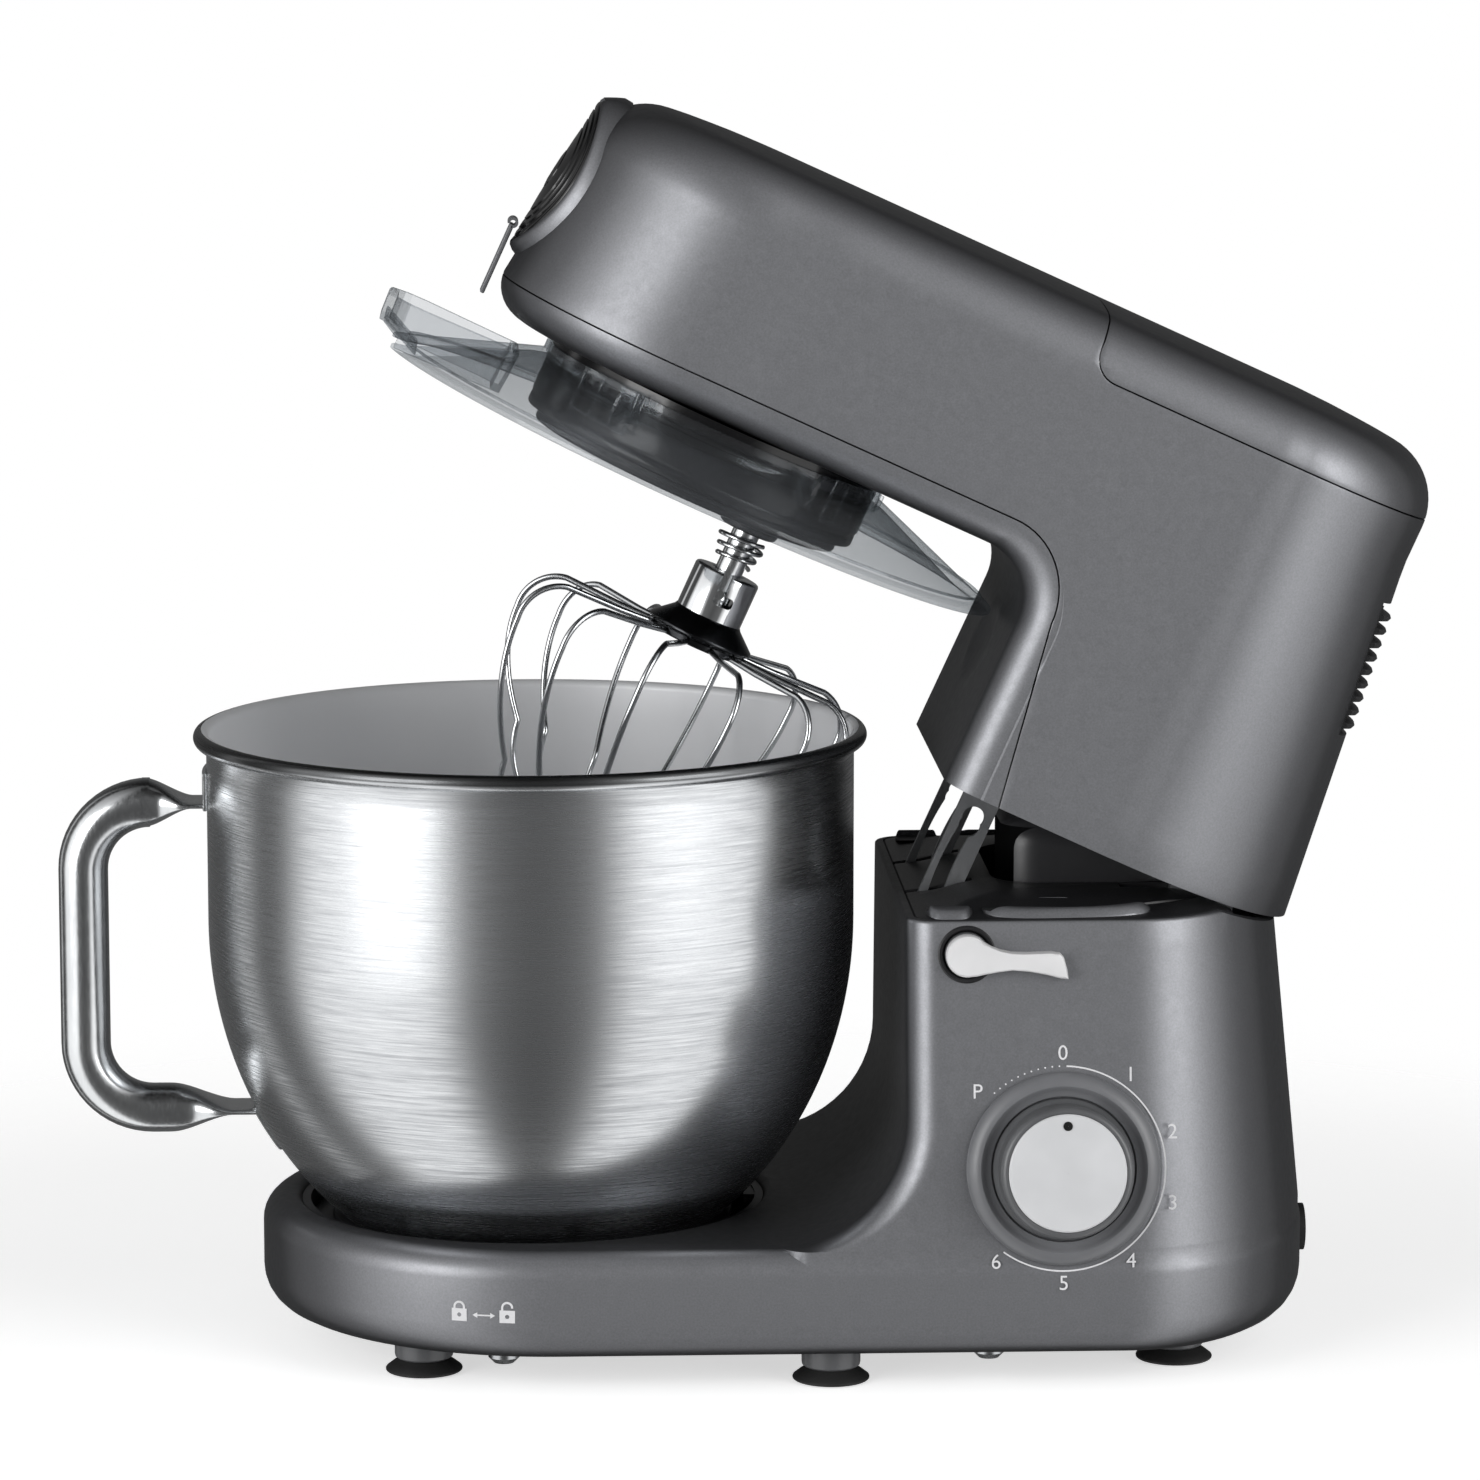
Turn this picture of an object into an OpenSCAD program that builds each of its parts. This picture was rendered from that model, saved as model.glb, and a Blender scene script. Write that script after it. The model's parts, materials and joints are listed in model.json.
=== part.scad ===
// Tilt-head stand mixer with a 6.5 litre bowl, head raised. Millimetres, +Z up.
// The origin is on the floor under the bowl's axis; the nose points to -X, the dial side is -Y.
// Everything in the head is drawn with the head closed, then raised about the hinge.

/* [Head tilt] */
// Angle at which the raised head stops, degrees
head_raise = 24.5; // [23:0.5:25.5]
// Hinge axis, behind the bowl's axis
hinge_x = 232; // [230:0.5:234]
// Hinge axis above the floor
hinge_z = 134.5; // [133:0.5:136]
// Radius of the hinge shaft
hinge_shaft_r = 6; // [4:0.5:7]

/* [Base] */
// Width of the base
base_w = 210; // [200:1:220]
// Underside of the base above the floor
base_lift = 12; // [10:0.5:14]
// Top of the low front part above the floor
base_top = 50; // [47:0.5:52]
// Centre of the round front end
base_nose_x = 8; // [5:1:12]
// Rearmost point of the base
base_rear_x = 277; // [274:1:282]
// Moulded wall of the base and the head
wall = 3; // [2:0.1:3.5]
// Thickness of the bottom plate
plate_t = 3; // [2:0.1:4]

/* [Column] */
// Front face of the column
column_front_x = 128.5; // [127:0.5:130]
// Top of the column above the floor
column_top = 163; // [162:0.5:164]
// Width of the column at its top
column_w = 180; // [172:1:186]
// Rearmost point of the column's top
column_rear_x = 265; // [263:1:267]
// Radius of the flare between column and base
flare_r = 44; // [36:1:46]

/* [Feet] */
// Radius of a suction cup
foot_r = 13.5; // [10:0.5:15]
// Distance of the front and middle feet from the middle plane
foot_y = 82; // [74:1:83]

/* [Bowl] */
// Outer radius of the bowl's wall
bowl_r = 115.4; // [112:0.1:116]
// Reach of the rolled rim beyond the bowl's wall
rim_out = 4.6; // [3.8:0.1:5.4]
// Top of the rim above the floor
rim_z = 219; // [216:0.5:219.5]
// Where the straight wall meets the rounded belly
belly_z = 150; // [140:1:160]
// Height of the rounded belly, down to where it would close
belly_h = 132.3; // [128:0.1:136]
// Underside of the bowl's flat bottom
bowl_bottom_z = 38; // [37.5:0.1:40]
// Sheet thickness of the bowl
bowl_t = 1.2; // [0.8:0.1:2]
// Radius of the handle tube
handle_r = 8.85; // [7:0.05:10]
// Reach of the handle's upright from the bowl's axis
handle_x = 159.8; // [152:0.1:166]
// Height of the handle's upper bar
handle_top_z = 192; // [185:1:196]
// Height of the handle's lower bar
handle_low_z = 81; // [76:1:90]
// Bend radius of the handle
handle_bend_r = 24; // [18:1:30]
// Distance of the recess for the bowl's foot inside the bowl's wall, from above
recess_in = 32.4; // [31.4:0.1:34.4]
// Floor of the recess above the table
recess_z = 35; // [33:0.5:35]
// Angle that the bowl turns to lock, degrees
bowl_turn = 25; // [15:1:30]

/* [Head] */
// Width of the head at the nose
head_w = 138; // [132:1:142]
// Foremost point of the nose
nose_x = -89; // [-92:0.5:-86]
// Underside of the head, closed
head_bottom_z = 246; // [245:0.5:247]
// Top of the head at its middle, closed
head_top_z = 337; // [334:0.5:340]
// Width of the neck
neck_w = 160; // [154:1:164]
// Front face of the neck
neck_front_x = 120; // [119.5:0.5:122]
// Lower edge of the neck, closed
neck_bottom_z = 165; // [164.5:0.5:167]
// Rearmost point of the neck's lower edge
neck_rear_x = 260.5; // [258:0.5:262]
// Height of the seam between the lower and the upper shell
seam_z = 258; // [256:0.5:261]
// Lower edge of the rear cover
cover_z = 314; // [310:0.5:318]
// Front edge of the rear cover
cover_x = 106; // [96:1:116]
// Radius of the cover on the nose
hub_cover_r = 28.5; // [24:0.5:30]
// Height of the nose cover's centre, closed
hub_z = 299; // [296:0.5:301]

/* [Lock] */
// Distance of each lock arm from the middle plane
lock_arm_y = 30; // [26:1:34]
// Lock rod in front of the hinge
lock_rod_x = 140; // [139.5:0.5:140.5]
// Lock rod above the floor
lock_rod_z = 153; // [152.5:0.25:153.5]
// Radius of the lock rod
lock_rod_r = 2; // [1.5:0.1:2.1]
// Lever pivot behind the bowl's axis
lever_x = 149; // [148:0.5:150]
// Lever pivot above the floor
lever_z = 151.6; // [151:0.1:152]
// Radius of the lever's boss
lever_boss_r = 7.8; // [6:0.1:8.5]

/* [Speed dial] */
// Dial centre behind the bowl's axis
dial_x = 182; // [176:1:190]
// Dial centre above the floor
dial_z = 78; // [74:1:86]
// Outer radius of the grey ring round the knob
dial_ring_r = 33.5; // [30:0.5:36]
// Radius of the knob
dial_knob_r = 24.5; // [20:0.5:26]
// Height of the knob
dial_knob_h = 17; // [12:0.5:20]

/* [Planetary drive] */
// Tooth size of all gears
gear_module = 1.25; // [1.2:0.01:1.3]
// Teeth of the fixed ring gear
ring_teeth = 64; // [64:4:64]
// Teeth of the planet gear
planet_teeth = 20; // [20:1:20]
// Teeth of the large gear on the spindle
main_teeth = 60; // [60:2:60]
// Teeth of the pinion
pinion_teeth = 15; // [15:2:15]
// Radius of the spindle
spindle_r = 7; // [6:0.1:8]
// Radius of the tool shaft
tool_shaft_r = 5; // [4:0.1:5.5]
// Underside of the planet carrier, closed
carrier_z = 216; // [215:0.5:218]
// Radius of the planet carrier
carrier_r = 58; // [54:0.5:59]
// Outer radius of the housing round the carrier
planet_housing_r = 63; // [62.5:0.5:65]

/* [Motor and belt] */
// Motor shaft behind the bowl's axis
motor_x = 175; // [172:1:178]
// Radius of the motor shaft
motor_shaft_r = 4; // [3:0.1:5]
// Width of the stator stack
stator_w = 84; // [78:1:90]
// Height of the stator stack
stator_h = 40; // [34:1:46]
// Radius of the rotor stack
rotor_r = 21.6; // [18:0.1:24]
// Radius of the small pulley
pulley_small_r = 10; // [8:0.5:11]
// Radius of the large pulley
pulley_large_r = 40; // [34:0.5:42]
// Width of the belt
belt_w = 11; // [8:0.5:12]

/* [Splash guard] */
// Distance of the guard's rim inside the bowl's rim
guard_in = 2.4; // [1.8:0.1:3.4]
// Underside of the guard's rim, closed
guard_z = 219.7; // [219.7:0.1:221]
// Thickness of the guard
guard_t = 1.8; // [1.4:0.1:2.4]

/* [Whisk] */
// Largest radius of the whisk
whisk_r = 60; // [52:0.5:61]
// Top of the whisk's hub, closed
whisk_top_z = 194; // [192:0.5:196]
// Lowest point of the whisk, closed
whisk_bottom_z = 66; // [64:0.5:74]
// Wire thickness
wire_d = 2.2; // [1.6:0.1:2.6]
// Number of wire loops
loops = 6; // [4:1:8]

/* [Hidden] */
$fn = 96;

base_hw = base_w / 2;
column_hw = column_w / 2;
neck_hw = neck_w / 2;
head_hw = head_w / 2;
run = 0.3;          // air between pieces that move past each other
bearing_gap = 0.05; // radial clearance of a running fit
big = 400;          // longer than the mixer, for cuts that go right through

// ---- Outlines ----

function arc(cx, cy, rx, ry, a0, a1, n) =
    [for (i = [0:n]) let (a = a0 + (a1 - a0) * i / n) [cx + rx * cos(a), cy + ry * sin(a)]];

// Plan with a flat front with round corners and a half-elliptic rear, moved inwards by d.
function flat_front_points(front, hw, corner, tail, rear, d) = concat(
    arc(front + corner, hw - corner, corner - d, corner - d, 90, 180, 5),
    arc(front + corner, corner - hw, corner - d, corner - d, 180, 270, 5),
    arc(tail, 0, rear - tail - d, hw - d, -90, 90, 14));
module flat_front_plan(front, hw, corner, tail, rear, d) {
    polygon(flat_front_points(front, hw, corner, tail, rear, d));
}

// Solid through outlines that all have the same number of points, given as [height, points] from bottom
// to top.
module loft(levels) {
    polyhedron([for (v = levels) for (p = v[1]) [p[0], p[1], v[0]]], skin_faces(len(levels),
        len(levels[0][1])),
        convexity = 6);
}

// A profile drawn in X and Z, made w wide and centred on the middle plane.
module side_prism(points, w) { rotate([90, 0, 0]) linear_extrude(w, center = true) polygon(points); }

// Moves a piece drawn with the head closed to where the raised head carries it.
module raised(angle = head_raise) {
    translate([hinge_x, 0, hinge_z]) rotate([0, angle, 0]) translate([-hinge_x, 0, -hinge_z]) children();
}

module ring(r_out, r_in, h) {
    difference() {
        cylinder(r = r_out, h = h);
        translate([0, 0, -1]) cylinder(r = r_in, h = h + 2);
    }
}

// A cylinder of length w along Y, centred on y.
module cross_pin(x, y, z, r, w) { translate([x, y, z]) rotate([90, 0, 0]) cylinder(r = r, h = w,
    center = true); }

// ---- Swept wire: rings of n points round each point of a path, which never runs along `across` ----

function unit(v) = v / norm(v);
function sweep_points(path, r, n, across) = [for (i = [0:len(path) - 1])
    let (t = unit(path[min(i + 1, len(path) - 1)] - path[max(i - 1, 0)]),
        side = unit(cross(t, across)), up = cross(t, side))
    for (k = [0:n - 1]) path[i] + r * (cos(360 * k / n) * side + sin(360 * k / n) * up)];
// Triangles of a skin over rows of n points, closed at both ends.
function skin_faces(rows, n) = concat([[for (k = [0:n - 1]) k]],
    [for (i = [0:rows - 2]) for (k = [0:n - 1]) let (a = i * n + k, b = i * n + (k + 1) % n)
        for (face = [[a, a + n, b + n], [a, b + n, b]]) face],
    [[for (k = [n - 1:-1:0]) (rows - 1) * n + k]]);
module wire(path, r, across = [0, 0, 1], n = 6) {
    polyhedron(sweep_points(path, r, n, across), skin_faces(len(path), n), convexity = 6);
}
function helix(r0, r1, h, turns, steps = 10) = [for (i = [0:turns * steps])
    let (f = i / (turns * steps), a = 360 * i / steps, r = r0 + (r1 - r0) * f) [r * cos(a), r * sin(a),
        h * f]];

// ---- Gears: straight-flanked teeth, four points each ----

flank = tan(20);
function gear_points(teeth, tip, root, half) = let (pitch = teeth * gear_module / 2)
    [for (i = [0:teeth - 1]) for (p = [[root, -1], [tip, -1], [tip, 1], [root, 1]])
        let (w = (half - (p[0] - pitch) * flank) / p[0] * 180 / PI, a = 360 * i / teeth + p[1] * w)
        p[0] * [cos(a), sin(a)]];
module gear_disc(teeth, h) {
    pitch = teeth * gear_module / 2;
    linear_extrude(h) polygon(gear_points(teeth, pitch + 0.8 * gear_module, pitch - 1.15 * gear_module,
        0.66 * gear_module));
}

// ---- Base and column ----

rim_r = bowl_r + rim_out;
recess_r = bowl_r - recess_in;
guard_r = rim_r - guard_in;
column_tail_x = 205;
base_tail_x = 205;
recess_ring_h = 13;
fillet_top = 9;
// Height where the column's side starts to lean in
lean_z = base_top - fillet_top;
fillet_bottom = 13;
foot_places = [[-39, foot_y - 18], [103, foot_y], [base_rear_x - 51, foot_y - 24]];
screw_places = [[-11, base_hw - 21], [158, base_hw - 21]];
screw_boss_r = 6;
screw_r = 1.9;
post_r = 5;
rib_t = 2.4;
deck_t = 3;
deck_posts = [[column_front_x + 9, column_hw - 17], [214, column_hw - 20]];
turret_hw = 42;
turret_front_x = 163;
turret_top_z = 190;

function base_outline(d) = concat(arc(base_nose_x, 0, base_hw - d, base_hw - d, 90, 270, 18),
    arc(base_tail_x, 0, base_rear_x - base_tail_x - d, base_hw - d, -90, 90, 14));
module base_plan(d) { polygon(base_outline(d)); }
module base_slab() {
    loft(concat([for (a = [90, 60, 30, 0]) [base_lift + fillet_bottom * (1 - sin(a)),
            base_outline(0.8 * fillet_bottom * (1 - cos(a)))]],
        [for (a = [0, 30, 60, 90]) [base_top - fillet_top * (1 - sin(a)),
            base_outline(fillet_top * (1 - cos(a)))]]));
}
module base_hollow() {
    loft([[base_lift - 1, base_outline(wall + 0.8 * fillet_bottom)],
        [base_lift + plate_t, base_outline(wall + 0.8 * fillet_bottom)],
        [base_lift + fillet_bottom, base_outline(wall)], [base_top - wall - fillet_top * 0.6,
            base_outline(wall)],
        [base_top - wall, base_outline(wall + fillet_top * 0.6)]]);
}
// The column's front at a height, with the flare down to the base.
flare_top_z = base_top + flare_r;
function column_x(z) = column_front_x - (z > flare_top_z ? 0
    : flare_r - sqrt(max(0, flare_r * flare_r - pow(flare_top_z - z, 2))));
function column_level(z, z_shape, d) = [z, flat_front_points(column_x(z_shape) + d, wall_y(z_shape) - d,
    10 - d,
    column_tail_x, base_rear_x - (base_rear_x - column_rear_x) * (z_shape - 25) / (column_top - 25) - d, 0)];
module column_body(d) {
    loft(concat([column_level(30, base_top - d, d)],
        [for (a = d > 0 ? [8, 45, 90] : [0, 15, 30, 45, 60, 90])
            column_level(flare_top_z - (flare_r + d) * cos(a), flare_top_z - flare_r * cos(a), d)],
        [column_level(column_top + (d > 0 ? 1 : 0), column_top, d)]));
}
// Half-width of the column's wall at a height, and its lean from upright.
function wall_y(z) = base_hw + (column_hw - base_hw) * (z - lean_z) / (column_top - lean_z);
column_lean = atan((base_hw - column_hw) / (column_top - lean_z));

// Places a piece on the column's near side at x, z, with its own +Z out of the wall.
module on_wall(x, z) { translate([x, -wall_y(z), z]) rotate([90 - column_lean, 0, 0]) children(); }

module mirrored_y() {
    children();
    mirror([0, 1, 0]) children();
}

// The lower edge of the raised neck dips behind the column's rear top edge.
module neck_relief(gap) {
    raised() translate([hinge_x - 9, -big / 2, neck_bottom_z - gap]) cube([big / 2, big, big / 4]);
}

module base_shell() color("#5c5d60") {
    difference() {
        union() {
            difference() {
                union() {
                    base_slab();
                    column_body(0);
                }
                base_hollow();
                column_body(wall);
            }
            difference() {
                translate([0, 0, recess_z - wall]) cylinder(r = recess_r + wall,
                    h = base_top - recess_z + 1);
                translate([0, 0, base_top - 0.5]) cylinder(r = big, h = 10);
            }
            mirrored_y() for (p = screw_places) {
                translate([p[0], p[1], base_lift + plate_t])
                    cylinder(r = screw_boss_r, h = base_top - 1 - base_lift - plate_t);
                translate([p[0] - rib_t / 2, p[1], base_lift + fillet_bottom])
                    cube([rib_t, base_hw - wall / 2 - p[1],
                        base_top - fillet_top - base_lift - fillet_bottom]);
            }
            mirrored_y() for (p = deck_posts) {
                translate([p[0], p[1], base_lift + plate_t])
                    cylinder(r = post_r, h = column_top - deck_t - base_lift - plate_t);
                translate([p[0] - rib_t / 2, p[1], column_top - 33])
                    cube([rib_t, wall_y(column_top) - 1 - p[1], 26]);
            }
        }
        translate([0, 0, recess_z]) cylinder(r = recess_r, h = 60);
        mirrored_y() for (p = screw_places)
            translate([p[0], p[1], base_lift]) cylinder(r = screw_r + 0.1, h = 20);
        neck_relief(2);
        cross_pin(lever_x, -column_hw, lever_z, lever_boss_r + 0.5, 8);
        cross_pin(lever_x, -column_hw, lever_z, lever_shaft_r + run, 30);
        on_wall(dial_x, dial_z) {
            translate([0, 0, -10]) cylinder(r = dial_spindle_r + run, h = 20);
            cylinder(r = dial_ring_r + run, h = 10);
        }
        translate([base_rear_x - 10, 0, gland_z]) rotate([0, 90, 0]) cylinder(r = gland_r, h = 20);
    }
}

module base_plate() color("#3a3b3d") difference() {
    translate([0, 0, base_lift]) linear_extrude(plate_t) base_plan(wall + 0.8 * fillet_bottom + 0.3);
    mirrored_y() {
        for (p = screw_places) translate([p[0], p[1], 0]) cylinder(r = screw_r + 0.1, h = 30);
        for (p = foot_places) translate([p[0], p[1], 0]) cylinder(r = foot_stud_r, h = 30);
    }
}

foot_stud_r = 4;
module suction_feet() color("#1c1c1e") mirrored_y() for (p = foot_places) translate([p[0], p[1], 0])
    rotate_extrude() polygon([[0, 1.5], [foot_r - 4, 1], [foot_r - 2, 0], [foot_r, 0], [foot_r, 1.2],
        [foot_r - 3, 3.2], [foot_r * 0.55, 4.6], [foot_r * 0.5, base_lift - 3], [foot_r * 0.62,
            base_lift - 2],
        [foot_r * 0.62, base_lift], [foot_stud_r, base_lift], [foot_stud_r, base_lift + plate_t], [0,
            base_lift + plate_t]]);

module plate_screws() color("#2a2a2c") mirrored_y() for (p = screw_places) translate([p[0], p[1], 0]) {
    translate([0, 0, base_lift - 2.5]) cylinder(r = 5.5, h = 2.5);
    translate([0, 0, base_lift - 4.5]) cylinder(r1 = 3.5, r2 = 5.5, h = 2);
    translate([0, 0, base_lift]) cylinder(r = screw_r, h = 16);
}

tab_angle = 40;
lug_angle = 36;
lug_count = 3;
foot_ring_z = recess_z + 1.5;
foot_ring_r = recess_r - 11;
tab_z = foot_ring_z + 8;
module wedge(r_out, r_in, h, width, mid) {
    rotate([0, 0, mid - width / 2]) rotate_extrude(angle = width) translate([r_in,
        0]) square([r_out - r_in, h]);
}
module bowl_lock_ring() color("#2a2a2c") translate([0, 0, recess_z]) {
    ring(recess_r, recess_r - 3, recess_ring_h);
    for (i = [0:lug_count - 1]) translate([0, 0, tab_z - recess_z])
        wedge(recess_r - 1.5, recess_r - 7, recess_ring_h - 0.5 - (tab_z - recess_z), tab_angle,
            180 - (tab_angle + lug_angle) / 2 - 4 + i * 360 / lug_count);
}

slot_r = norm([lock_rod_x - hinge_x, lock_rod_z - hinge_z]);
arm_w = 13.6;
arm_t = 2.5;
module deck_cover() color("#1d1d1f") {
    difference() {
        intersection() {
            translate([0, 0, column_top - deck_t])
                linear_extrude(deck_t) flat_front_plan(column_front_x, wall_y(column_top - deck_t), 10,
                    column_tail_x,
                    column_rear_x, wall + 0.3);
            translate([0, -big / 2, 0]) cube([hinge_x + 6, big, big]);
        }
        neck_relief(2);
        translate([turret_front_x - run, -turret_hw - run, 0]) cube([big, 2 * (turret_hw + run), big]);
        mirrored_y() {
            translate([hinge_x - 26, arm_plate_y - run, 0]) cube([60, arm_plate_t + 2 * run + 1, big]);
            translate([lock_rod_x - 10.3, lock_arm_y - arm_t / 2 - 1, 100]) cube([26, arm_t + 2, 80]);
        }
    }
    // Hangers for the lever's shaft
    mirrored_y() difference() {
        translate([lever_x - 6, lock_arm_y + 13, lever_z - 6]) cube([12, 4,
            column_top - deck_t - lever_z + 6]);
        cross_pin(lever_x, lock_arm_y + 15, lever_z, lever_shaft_r + bearing_gap, 10);
    }
}

turret_rear = [[250, turret_top_z - 14], [254, turret_top_z - 30], [254, 112]];
function turret_side(d) = concat([[turret_front_x + d, 112 - d]],
    arc(turret_front_x + 10, turret_top_z - 10, 10 - d, 10 - d, 180, 90, 4), [[240, turret_top_z - d]],
    [for (p = turret_rear) p - [d, p == turret_rear[2] ? d : 0]]);
module hinge_turret() color("#4a4b4e") {
    difference() {
        intersection() {
            side_prism(turret_side(0), 2 * turret_hw);
            translate([0, 0, 100]) linear_extrude(120) flat_front_plan(turret_front_x, turret_hw, 16,
                205, 252, 0);
        }
        intersection() {
            side_prism(turret_side(wall), 2 * (turret_hw - wall));
            translate([0, 0, 90]) linear_extrude(120) flat_front_plan(turret_front_x, turret_hw, 16, 205,
                252, wall);
        }
        cross_pin(hinge_x, 0, hinge_z, hinge_shaft_r + 0.02, 200);
    }
    mirrored_y() {
        difference() {
            cross_pin(hinge_x, turret_hw - 9, hinge_z, 14, 14);
            cross_pin(hinge_x, 0, hinge_z, hinge_shaft_r + 0.02, 200);
        }
        // Foot that is screwed up to the deck
        translate([turret_front_x + 12, turret_hw - 1, column_top - deck_t - 5]) cube([28, 12, 5]);
    }
}

arm_plate_y = turret_hw + 2.5;
arm_plate_t = 6;
module hinge_shaft() color("#b9bcc0") cross_pin(hinge_x, 0, hinge_z, hinge_shaft_r,
    2 * (arm_plate_y + arm_plate_t + 3));

// ---- Speed dial ----

dial_spindle_r = 3;
dial_gap = 0.7;
module dial_bezel() color("#77787b") on_wall(dial_x, dial_z) rotate_extrude() polygon([[dial_knob_r +
    dial_gap, 0],
    [dial_ring_r, 0], [dial_ring_r, 1.6], [dial_ring_r - 2.5, 4.2], [dial_ring_r - 5, 4.6],
    [dial_knob_r + dial_gap, 2.2]]);
module speed_switch() color("#d8d5c8") on_wall(dial_x, dial_z) difference() {
    union() {
        translate([-15, -13, -26.4]) cube([30, 26, 23 - wall]);
        translate([0, 0, -wall - 3.4]) cylinder(r = 6, h = 2);
    }
    translate([0, 0, -24]) cylinder(r = dial_spindle_r + bearing_gap, h = 40);
}
module dial_knob() color("#8d8e91") on_wall(dial_x, dial_z) {
    difference() {
        rotate_extrude() polygon([[0, 0.8], [dial_knob_r, 0.8], [dial_knob_r, 3], [dial_knob_r - 1.4, 5],
            [dial_knob_r - 1.4, dial_knob_h - 1.5], [dial_knob_r - 2.4, dial_knob_h - 0.6],
            [dial_knob_r - 3.4, dial_knob_h], [0, dial_knob_h]]);
        translate([0, 0, dial_knob_h - 1]) cylinder(r = dial_knob_r - 4, h = 5);
    }
    translate([0, 0, -20]) cylinder(r = dial_spindle_r, h = 21);
}
module dial_face() color("#d9dadc") on_wall(dial_x, dial_z) translate([0, 0, dial_knob_h - 1]) {
    cylinder(r = dial_knob_r - 4, h = 1.2);
    translate([0, dial_knob_r - 9, 1.2]) cylinder(r = 1.4, h = 0.5);
}

// ---- Electrics in the base ----

board_z = base_lift + plate_t + 8;
board_y = 34;
module control_board() color("#2d6b3c") {
    translate([112, -board_y, board_z]) cube([90, 2 * board_y, 1.6]);
    for (x = [118, 196]) mirrored_y() translate([x, board_y - 6, base_lift + plate_t])
        cylinder(r = 3, h = board_z - base_lift - plate_t);
}
module filter_capacitor() color("#c7a33a") translate([132, -12, board_z + 1.6]) {
    cube([26, 14, 18]);
    translate([44, 7, 0]) cylinder(r = 9, h = 24);
}
module safety_switch() color("#2b2b2d") difference() {
    translate([lever_x + 6, -9, column_top - deck_t - 12]) cube([7, 18, 12]);
    cross_pin(lever_x + 9.5, 0, column_top - deck_t - 8, 1.2, 30);
}
gland_z = base_lift + 21;
gland_r = 6;
gland_bore_r = 3.6;
module cord_gland() color("#1c1c1e") translate([base_rear_x, 0, gland_z]) rotate([0, 90, 0]) difference() {
    union() {
        translate([0, 0, -wall - 1]) cylinder(r = gland_r, h = wall + 1);
        cylinder(r = gland_r + 2.5, h = 2.5);
        translate([0, 0, -wall - 2.9]) cylinder(r = gland_r + 1, h = 2);
    }
    translate([0, 0, -10]) cylinder(r = gland_bore_r, h = 20);
}

// ---- Head lock ----

lever_shaft_r = 3;
lever_plate_t = 5;
lever_face_y = wall_y(lever_z - 12) + 0.6;
lever_boss_y = wall_y(lever_z) - wall;
crank_y = lock_arm_y + 6;
module lever_handle() color("#cfd0d2") {
    translate([lever_x, -lever_boss_y, lever_z]) rotate([90, 0, 0])
        cylinder(r = lever_boss_r, h = lever_face_y + lever_plate_t - lever_boss_y);
    translate([lever_x, -lever_face_y, lever_z]) rotate([90, 8, 0]) linear_extrude(lever_plate_t)
        polygon(concat([[0, 4.6], [0, -4.6]], [[12, -4], [19, -3.5], [26, -4.8],
            [32, -7.4], [34.4, -7.4], [34.4, 4], [30, 5.4], [24, 4.6], [17, 4], [11, 4.6]]));
}
module lever_rod() color("#b9bcc0") {
    translate([lever_x, -crank_y, lever_z]) rotate([90, 0, 0])
        cylinder(r = lever_shaft_r, h = lever_boss_y - crank_y);
    cross_pin(lever_x, crank_y + 6, lever_z, lever_shaft_r, 15);
    cross_pin(lock_rod_x, 0, lock_rod_z, lock_rod_r, 2 * crank_y);
    mirrored_y() {
        cross_pin(lever_x, crank_y, lever_z, 4.2, 3);
        cross_pin(lock_rod_x, crank_y, lock_rod_z, 2.8, 3);
        translate([(lever_x + lock_rod_x) / 2, crank_y, (lever_z + lock_rod_z) / 2])
            rotate([0, atan2(lever_z - lock_rod_z, lock_rod_x - lever_x) + 180, 0]) cube([9.1, 3, 4.8],
                center = true);
    }
}
module lever_spring() color("#9a9da1") translate([lever_x, -lock_arm_y - 20, lever_z])
    rotate([90, 0, 0]) wire(helix(lever_shaft_r + 0.9, lever_shaft_r + 0.9, 12, 6), 0.55);

// ---- Head shells, closed ----

top_round = 24;
neck_tail_x = 185;
neck_corner_r = 17;
concave_r = 20;
rear_lean = 11.5;
neck_top_z = head_bottom_z + 20;
neck_blend_x = neck_front_x + 28;

// Plan of the head and neck: the front is drawn in by front_in, everything behind the neck's front by
// rear_in.
side_bulge = 0.7;
function head_side(x, rear_hw) = head_hw + side_bulge + (rear_hw - head_hw) * (x - nose_x - head_hw)
    / (neck_tail_x - nose_x - head_hw);
function head_outline(front, front_in, rear, rear_hw, rear_in) = let (r = head_hw - front_in,
        w0 = head_side(neck_front_x - 10, rear_hw) - front_in,
        w1 = head_side(neck_front_x + 2, rear_hw) + 0.4 - rear_in, w2 = head_side(neck_blend_x,
            rear_hw) - rear_in)
    concat(arc(front + head_hw, 0, r, r, 90, 270, 18),
        [[neck_front_x - 10, -w0], [neck_front_x + 2, -w1], [neck_blend_x, -w2]],
        arc(neck_tail_x, 0, rear - neck_tail_x - rear_in, rear_hw - rear_in, -90, 90, 14),
        [[neck_blend_x, w2], [neck_front_x + 2, w1], [neck_front_x - 10, w0]]);
function rear_wall_x(z) = neck_rear_x - rear_lean * (z - neck_bottom_z) / (neck_top_z - neck_bottom_z);
function head_top_level(a, d, r) = let (inset = r * (1 - cos(a)) + d)
    [head_top_z - 2 - d - r * (1 - sin(a)), head_outline(nose_x + 7, inset, rear_wall_x(neck_top_z + 30),
        neck_hw - 8, inset)];
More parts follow.
